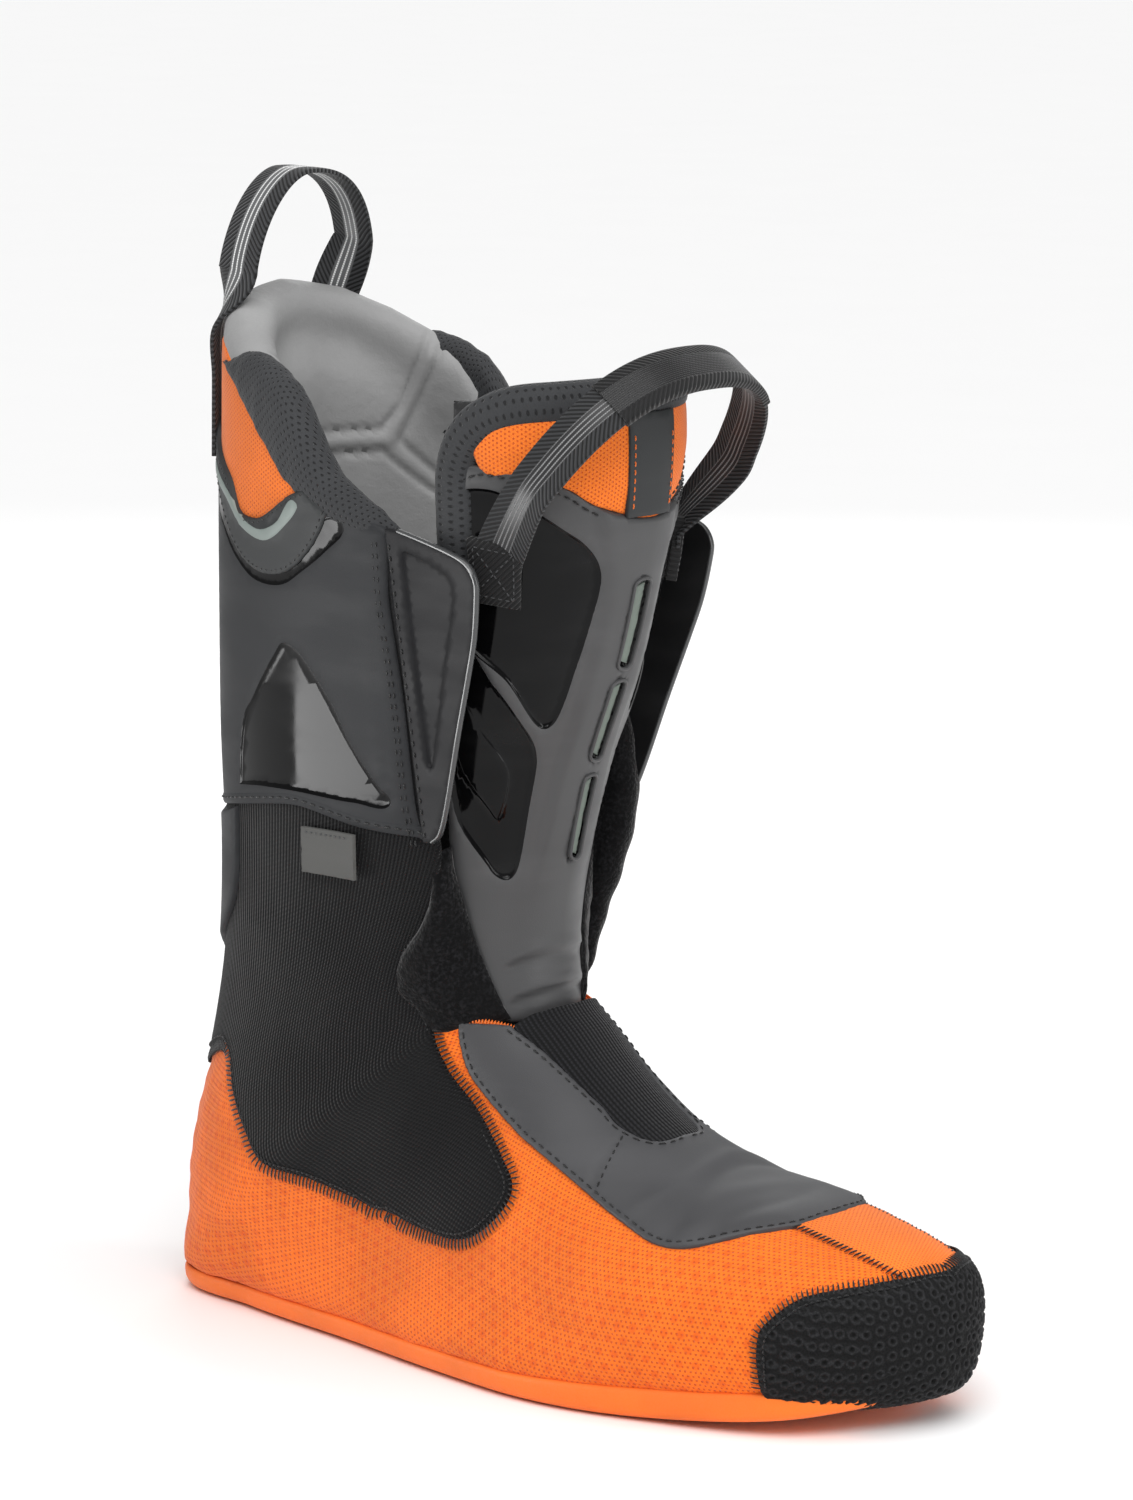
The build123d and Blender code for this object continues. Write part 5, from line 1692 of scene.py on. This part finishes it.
def build_loops():
    chart = {side: TongueChart(side) for _, side in SIDES}
    foot_points, foot_normals = [], []
    for side in (1, -1):
        flat = chart[side].chart([(65, 244), (64, 248), (63, 252)])
        point, normal, _, _ = chart[side].frame_at(flat)
        foot_points.append(point + normal * 2.0)
        foot_normals.append(normal)
    arch, out = arch_points((17, 0, 254.5), (55.5, 0, 306), (48.2, 48.2), 14, 166)
    points = np.concatenate([foot_points[0], arch, foot_points[1][::-1]])
    normals = np.concatenate([foot_normals[0], out, foot_normals[1][::-1]])
    loop = loop_mesh("tongue_pull", points, normals, 15.5, 1.7, "satin_webbing")
    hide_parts("tongue_loop")
    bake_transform(loop)
    arch, out = arch_points((17, 0, 254.5), (55.5, 0, 306), (48.2, 48.2), 52, 128)
    sleeve = loop_mesh("tongue_pull_sleeve", arch, out, 16.8, 3.4, "sleeve")
    finish_piece(sleeve, "tongue_loop", ["tongue_loop_sleeve"])

    sides = []
    for side in (1, -1):
        angles = side * np.array([157, 157, 157.0])
        stations = np.array([19.1, 19.8, 20.35])
        foot = body_point(angles, stations, 2.6)
        inner = body_point(angles, stations, 0)
        sides.append((foot, unit(foot - inner)))
    arch, out = arch_points((-106, 0, 321), (-105, 0, 356), (25, 29), 10, 166, 41, (1.75, 2.6))
    points = np.concatenate([sides[0][0], arch, sides[1][0][::-1]])
    normals = np.concatenate([sides[0][1], out, sides[1][1][::-1]])
    loop = loop_mesh("rear_pull", points, normals, 15.5, 1.7, "webbing")
    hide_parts("rear_loop", "rear_loop_anchor")
    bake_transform(loop)


# ---- wings, tag and gussets ------------------------------------------------------------------
# places are (forward of the hinge, up along it), millimetres
WING = [(0.9, 0.5), (4.5, 0.6), (8, 3), (12, 11), (20, 32.5), (28, 53), (32, 64), (35, 77),
        (35.2, 81), (33, 85.5), (28.5, 88.3), (18, 92), (6, 95.6), (0.9, 96)]
WING_TRIANGLE = [(6.5, 88), (8, 89.6), (23, 83.6), (25.6, 80.5), (25.6, 75), (19, 55),
                 (9.6, 25.5), (8, 23.5), (6.8, 25.5)]


def wing_chart(side):
    """The plane that a wing lies in: x forward of its hinge, y up along it."""
    top = np.array([-22, -side * 51.2, 257])
    bottom = np.array([-15, -side * 42.6, 162])
    splay = radians(2 if side > 0 else 13)
    forward = np.array([cos(splay), -side * sin(splay), 0])
    up = unit(top - bottom)
    right = unit(forward - up * (forward @ up))
    chart = PlaneChart(bottom + forward * 0.5, right, up, 0)
    if side < 0:
        chart.out = -chart.out
        chart.handed = -1
    return chart


def build_wings():
    for name, side in SIDES:
        chart = wing_chart(side)
        piece = panel(f"wing_shell_{name}", chart, doubled(WING, 0, 13), 2.2, 0.3,
                      ["wing_plastic", "black_plastic"], 0.9, 2.0,
                      [Zone(WING_TRIANGLE, -1.0, 0.6)], under=1)
        finish_piece(piece, f"wing_{name}", [f"wing_{name}"])
        # the rim's lighter colour is a painted highlight along the wing's rolled edge
        rim = sweep_along(f"wing_rim_{name}", chart, WING[1:-1], 1.25, ring_profile(1.3, 2.2, 10),
                          "painted_highlight_edge", aside=-0.2, step=1.2)
        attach(rim, f"wing_{name}")
        stitches = running_stitch(chart, [(2.4, 2), (2.2, 94)], 2.2, 2.2, 1.3)
        thread(f"wing_stitching_{name}", stitches, "thread_black", f"wing_{name}")


def build_tag():
    chart = PlaneChart((-48.5, -46.9, 156), (1, -0.03, 0), (0, -0.02, 1), 0.004)
    outline = doubled([(-11, -7.6), (11, -7.6), (11, 6.4), (-11, 6.4)], 0, 1, 2, 3)
    tag = panel("hem_label", chart, outline, 1.5, 0.2, ["label"], 0.4, 1.6)
    finish_piece(tag, "size_tag", ["size_tag"])
    box = running_stitch(chart, [(-9.5, 5.0), (9.5, 5.0)], 1.45, 1.5, 0.7)
    thread("hem_label_stitching", box, "thread_grey", "size_tag", 0.22)


# rear edge on the leg's skin, (angle, station), and front edge on the tongue, (angle, height)
GUSSET_REAR = [(61, 14.95), (57, 14.3), (59, 13.6), (65, 13.1), (64, 12.4), (58, 11.8),
               (56, 11.3), (48, 10.8)]
GUSSET_FRONT = [(80, 160), (78, 152), (72, 143), (66, 134), (60, 126), (54, 118), (48, 111), (42, 106)]


def at_shares(line, share):
    """Points of a line at shares of its length, from 0 to 1."""
    place = np.linspace(0, 1, len(line))
    return np.stack([np.interp(share, place, line[:, k]) for k in range(3)], -1)


def build_gussets():
    """Padded fleece flaps that close the throat between the ankle panels and the tongue."""
    rows, columns = 40, 22
    for name, side in SIDES:
        rear_flat = resample(smooth_path(BODY[name].chart(GUSSET_REAR), step=1.0), 1.0)
        front_chart = TongueChart(side)
        front_flat = resample(smooth_path(front_chart.chart(GUSSET_FRONT), step=1.0), 1.0)
        rear = resample(BODY[name].point(rear_flat), 0.5)
        front_point, front_normal, _, _ = front_chart.frame_at(front_flat)
        front = resample(front_point + front_normal * 1.8, 0.5)
        share = np.linspace(0, 1, rows)
        rear, front = at_shares(rear, share), at_shares(front, share)
        t = np.linspace(0, 1, columns)[None, :, None]
        out = np.array([0.35, -side, 0.1])
        bulge = 4.2 * np.sin(pi * t) * np.sin(pi * np.clip(share, 0.02, 0.98))[:, None, None]
        middle = rear[:, None] * (1 - t) + front[:, None] * t + unit(out) * bulge
        thick = 2.0 * np.sqrt(np.clip(1 - np.abs(2 * t - 1) ** 4, 0.02, 1))
        ends = np.sqrt(np.clip(1 - np.abs(2 * share - 1) ** 6, 0.02, 1))[:, None, None]
        nap = 0.25 * np.sin(middle[..., 2:] * 0.9) * np.sin(middle[..., :1] * 0.8)
        upper = middle + unit(out) * (thick * ends + nap)
        lower = middle - unit(out) * (thick * ends * 0.7)
        verts = np.concatenate([upper.reshape(-1, 3), lower.reshape(-1, 3)])
        obj = make_object(f"throat_flap_{name}", verts, slab_faces(rows, columns), ["fleece"],
                          sharp=80)
        fix_normals(obj)
        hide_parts(f"throat_gusset_{name}")
        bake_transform(obj)


def build_throat_edge():
    """The rolled fleece edge of the lining beside the tongue, on the inner side."""
    chart = BODY["medial"]
    places = [(47, 11.5), (50, 12.3), (53, 13.2), (54, 14.2), (57, 15.2), (62, 16.2), (69, 17.2),
              (76, 18.0)]
    line = along_chart(chart, places, step=1.5)
    point, normal, _, _ = chart.frame_at(line)
    share = np.linspace(0, 1, len(line))
    slim = smoothstep((share - 0.42) / 0.3)
    radius = 1.2 + (5.6 - 2.0 * slim) * np.sin(pi * share) ** 0.5 + 0.25 * np.sin(share * 55)
    rise = 2.5 + 3.5 * np.sin(pi * share) ** 0.5 - 3.4 * slim
    profile = ring_profile(2, 2, 16)[None] * radius[:, None, None]
    verts, faces = sweep_mesh(point + normal * rise[:, None], normal, profile)
    edge = make_object("throat_edge_medial", verts, faces, ["fleece"], sharp=80)
    fix_normals(edge)
    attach(edge, "liner")


# ---- CAD nodes that stay ---------------------------------------------------------------------
def dress_cad(node, material):
    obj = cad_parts[node]
    obj.data.materials.clear()
    obj.data.materials.append(MATERIALS[material])


# ---- floor, light and camera -----------------------------------------------------------------
AIM = (0, 0, 0.17)
WORLD_STRENGTH = 0.28
SUN_POWER, SUN_ANGLE = 2.5, 70
# name, place, target, size in metres, power in watts
LAMPS = (
    ("key", (0.9, -0.9, 1.2), AIM, (0.6, 0.6), 5),
    ("side", (1.4, 0.5, 0.6), AIM, (0.3, 1.0), 5),
    ("back", (-0.9, 1.2, 0.9), AIM, (0.8, 0.8), 5),
)
GLOSS_LAMP = ("gloss_strip", (-0.33, -0.42, 0.11), (-0.05, -0.05, 0.19), (0.25, 0.2), 1.5)
FLOOR_HALF, FLOOR_DROP = 40, 0.0004
CAMERA_AZIMUTH, CAMERA_ELEVATION, CAMERA_DISTANCE = 40.0, 10.0, 1.8
CAMERA_TARGET = (-0.0005, 0.0065, 0.1851)
SENSOR_WIDTH, FOCAL_LENGTH = 36, 142.56


def link(name, data):
    """An object of the scene that holds data."""
    obj = bpy.data.objects.new(name, data)
    bpy.context.scene.collection.objects.link(obj)
    return obj


def area_light(name, place, target, size, power):
    data = bpy.data.lights.new(name, "AREA")
    data.shape = "RECTANGLE"
    data.size, data.size_y = size
    data.energy = power
    obj = link(name, data)
    obj.location = place
    obj.rotation_euler = (Vector(target) - Vector(place)).to_track_quat("-Z", "Y").to_euler()
    return obj


def build_floor():
    s = Shader("floor", srgb(252, 252, 252), 0.8, specular=0.1)
    cloudy = s.noise(s.place(stretch=(0.01, 0.01, 0.01)), 1.0, 2)
    s.paint(s.mix(cloudy, srgb(251, 251, 251), srgb(253, 253, 253)))
    half = FLOOR_HALF
    mesh = bpy.data.meshes.new("floor")
    corners = [(-half, -half, 0), (half, -half, 0), (half, half, 0), (-half, half, 0)]
    mesh.from_pydata(corners, [], [(0, 1, 2, 3)])
    mesh.materials.append(MATERIALS["floor"])
    floor = link("floor", mesh)
    floor.location.z = -FLOOR_DROP


def build_stage():
    """The pale floor, a white sky and soft lamps."""
    build_floor()
    world = bpy.data.worlds.new("studio")
    bpy.context.scene.world = world
    world.use_nodes = True
    background = world.node_tree.nodes["Background"]
    background.inputs["Color"].default_value = (1, 1, 1, 1)
    background.inputs["Strength"].default_value = WORLD_STRENGTH
    sun = bpy.data.lights.new("sky_panel", "SUN")
    sun.energy = SUN_POWER
    sun.angle = radians(SUN_ANGLE)
    lamp = link("sky_panel", sun)
    lamp.rotation_euler = Vector((0.35, -0.35, 1)).to_track_quat("Z", "Y").to_euler()
    for settings in LAMPS:
        area_light(*settings)
    # seen only as a reflection, in the glossy window
    strip = area_light(*GLOSS_LAMP)
    strip.visible_diffuse = False
    strip.visible_camera = False
    bpy.context.scene.view_settings.view_transform = "Standard"
    bpy.context.scene.view_settings.look = "None"


def build_camera():
    data = bpy.data.cameras.new("camera")
    data.sensor_width = SENSOR_WIDTH
    data.lens = FOCAL_LENGTH
    a, e = radians(CAMERA_AZIMUTH), radians(CAMERA_ELEVATION)
    back = Vector((sin(a) * cos(e), -cos(a) * cos(e), sin(e)))
    camera = link("camera", data)
    camera.location = Vector(CAMERA_TARGET) + back * CAMERA_DISTANCE
    camera.rotation_euler = (-back).to_track_quat("-Z", "Y").to_euler()
    bpy.context.scene.camera = camera


build_camera()
build_stage()
build_sole()
build_upper()
build_foot_seams()
build_ankle()
build_cuff()
build_collar()
build_calf()
build_inside()
build_rear()
build_tongue()
build_loops()
build_wings()
build_tag()
build_gussets()
build_throat_edge()
dress_cad("sole_board", "board_grey")
dress_cad("heel_counter", "black_plastic")
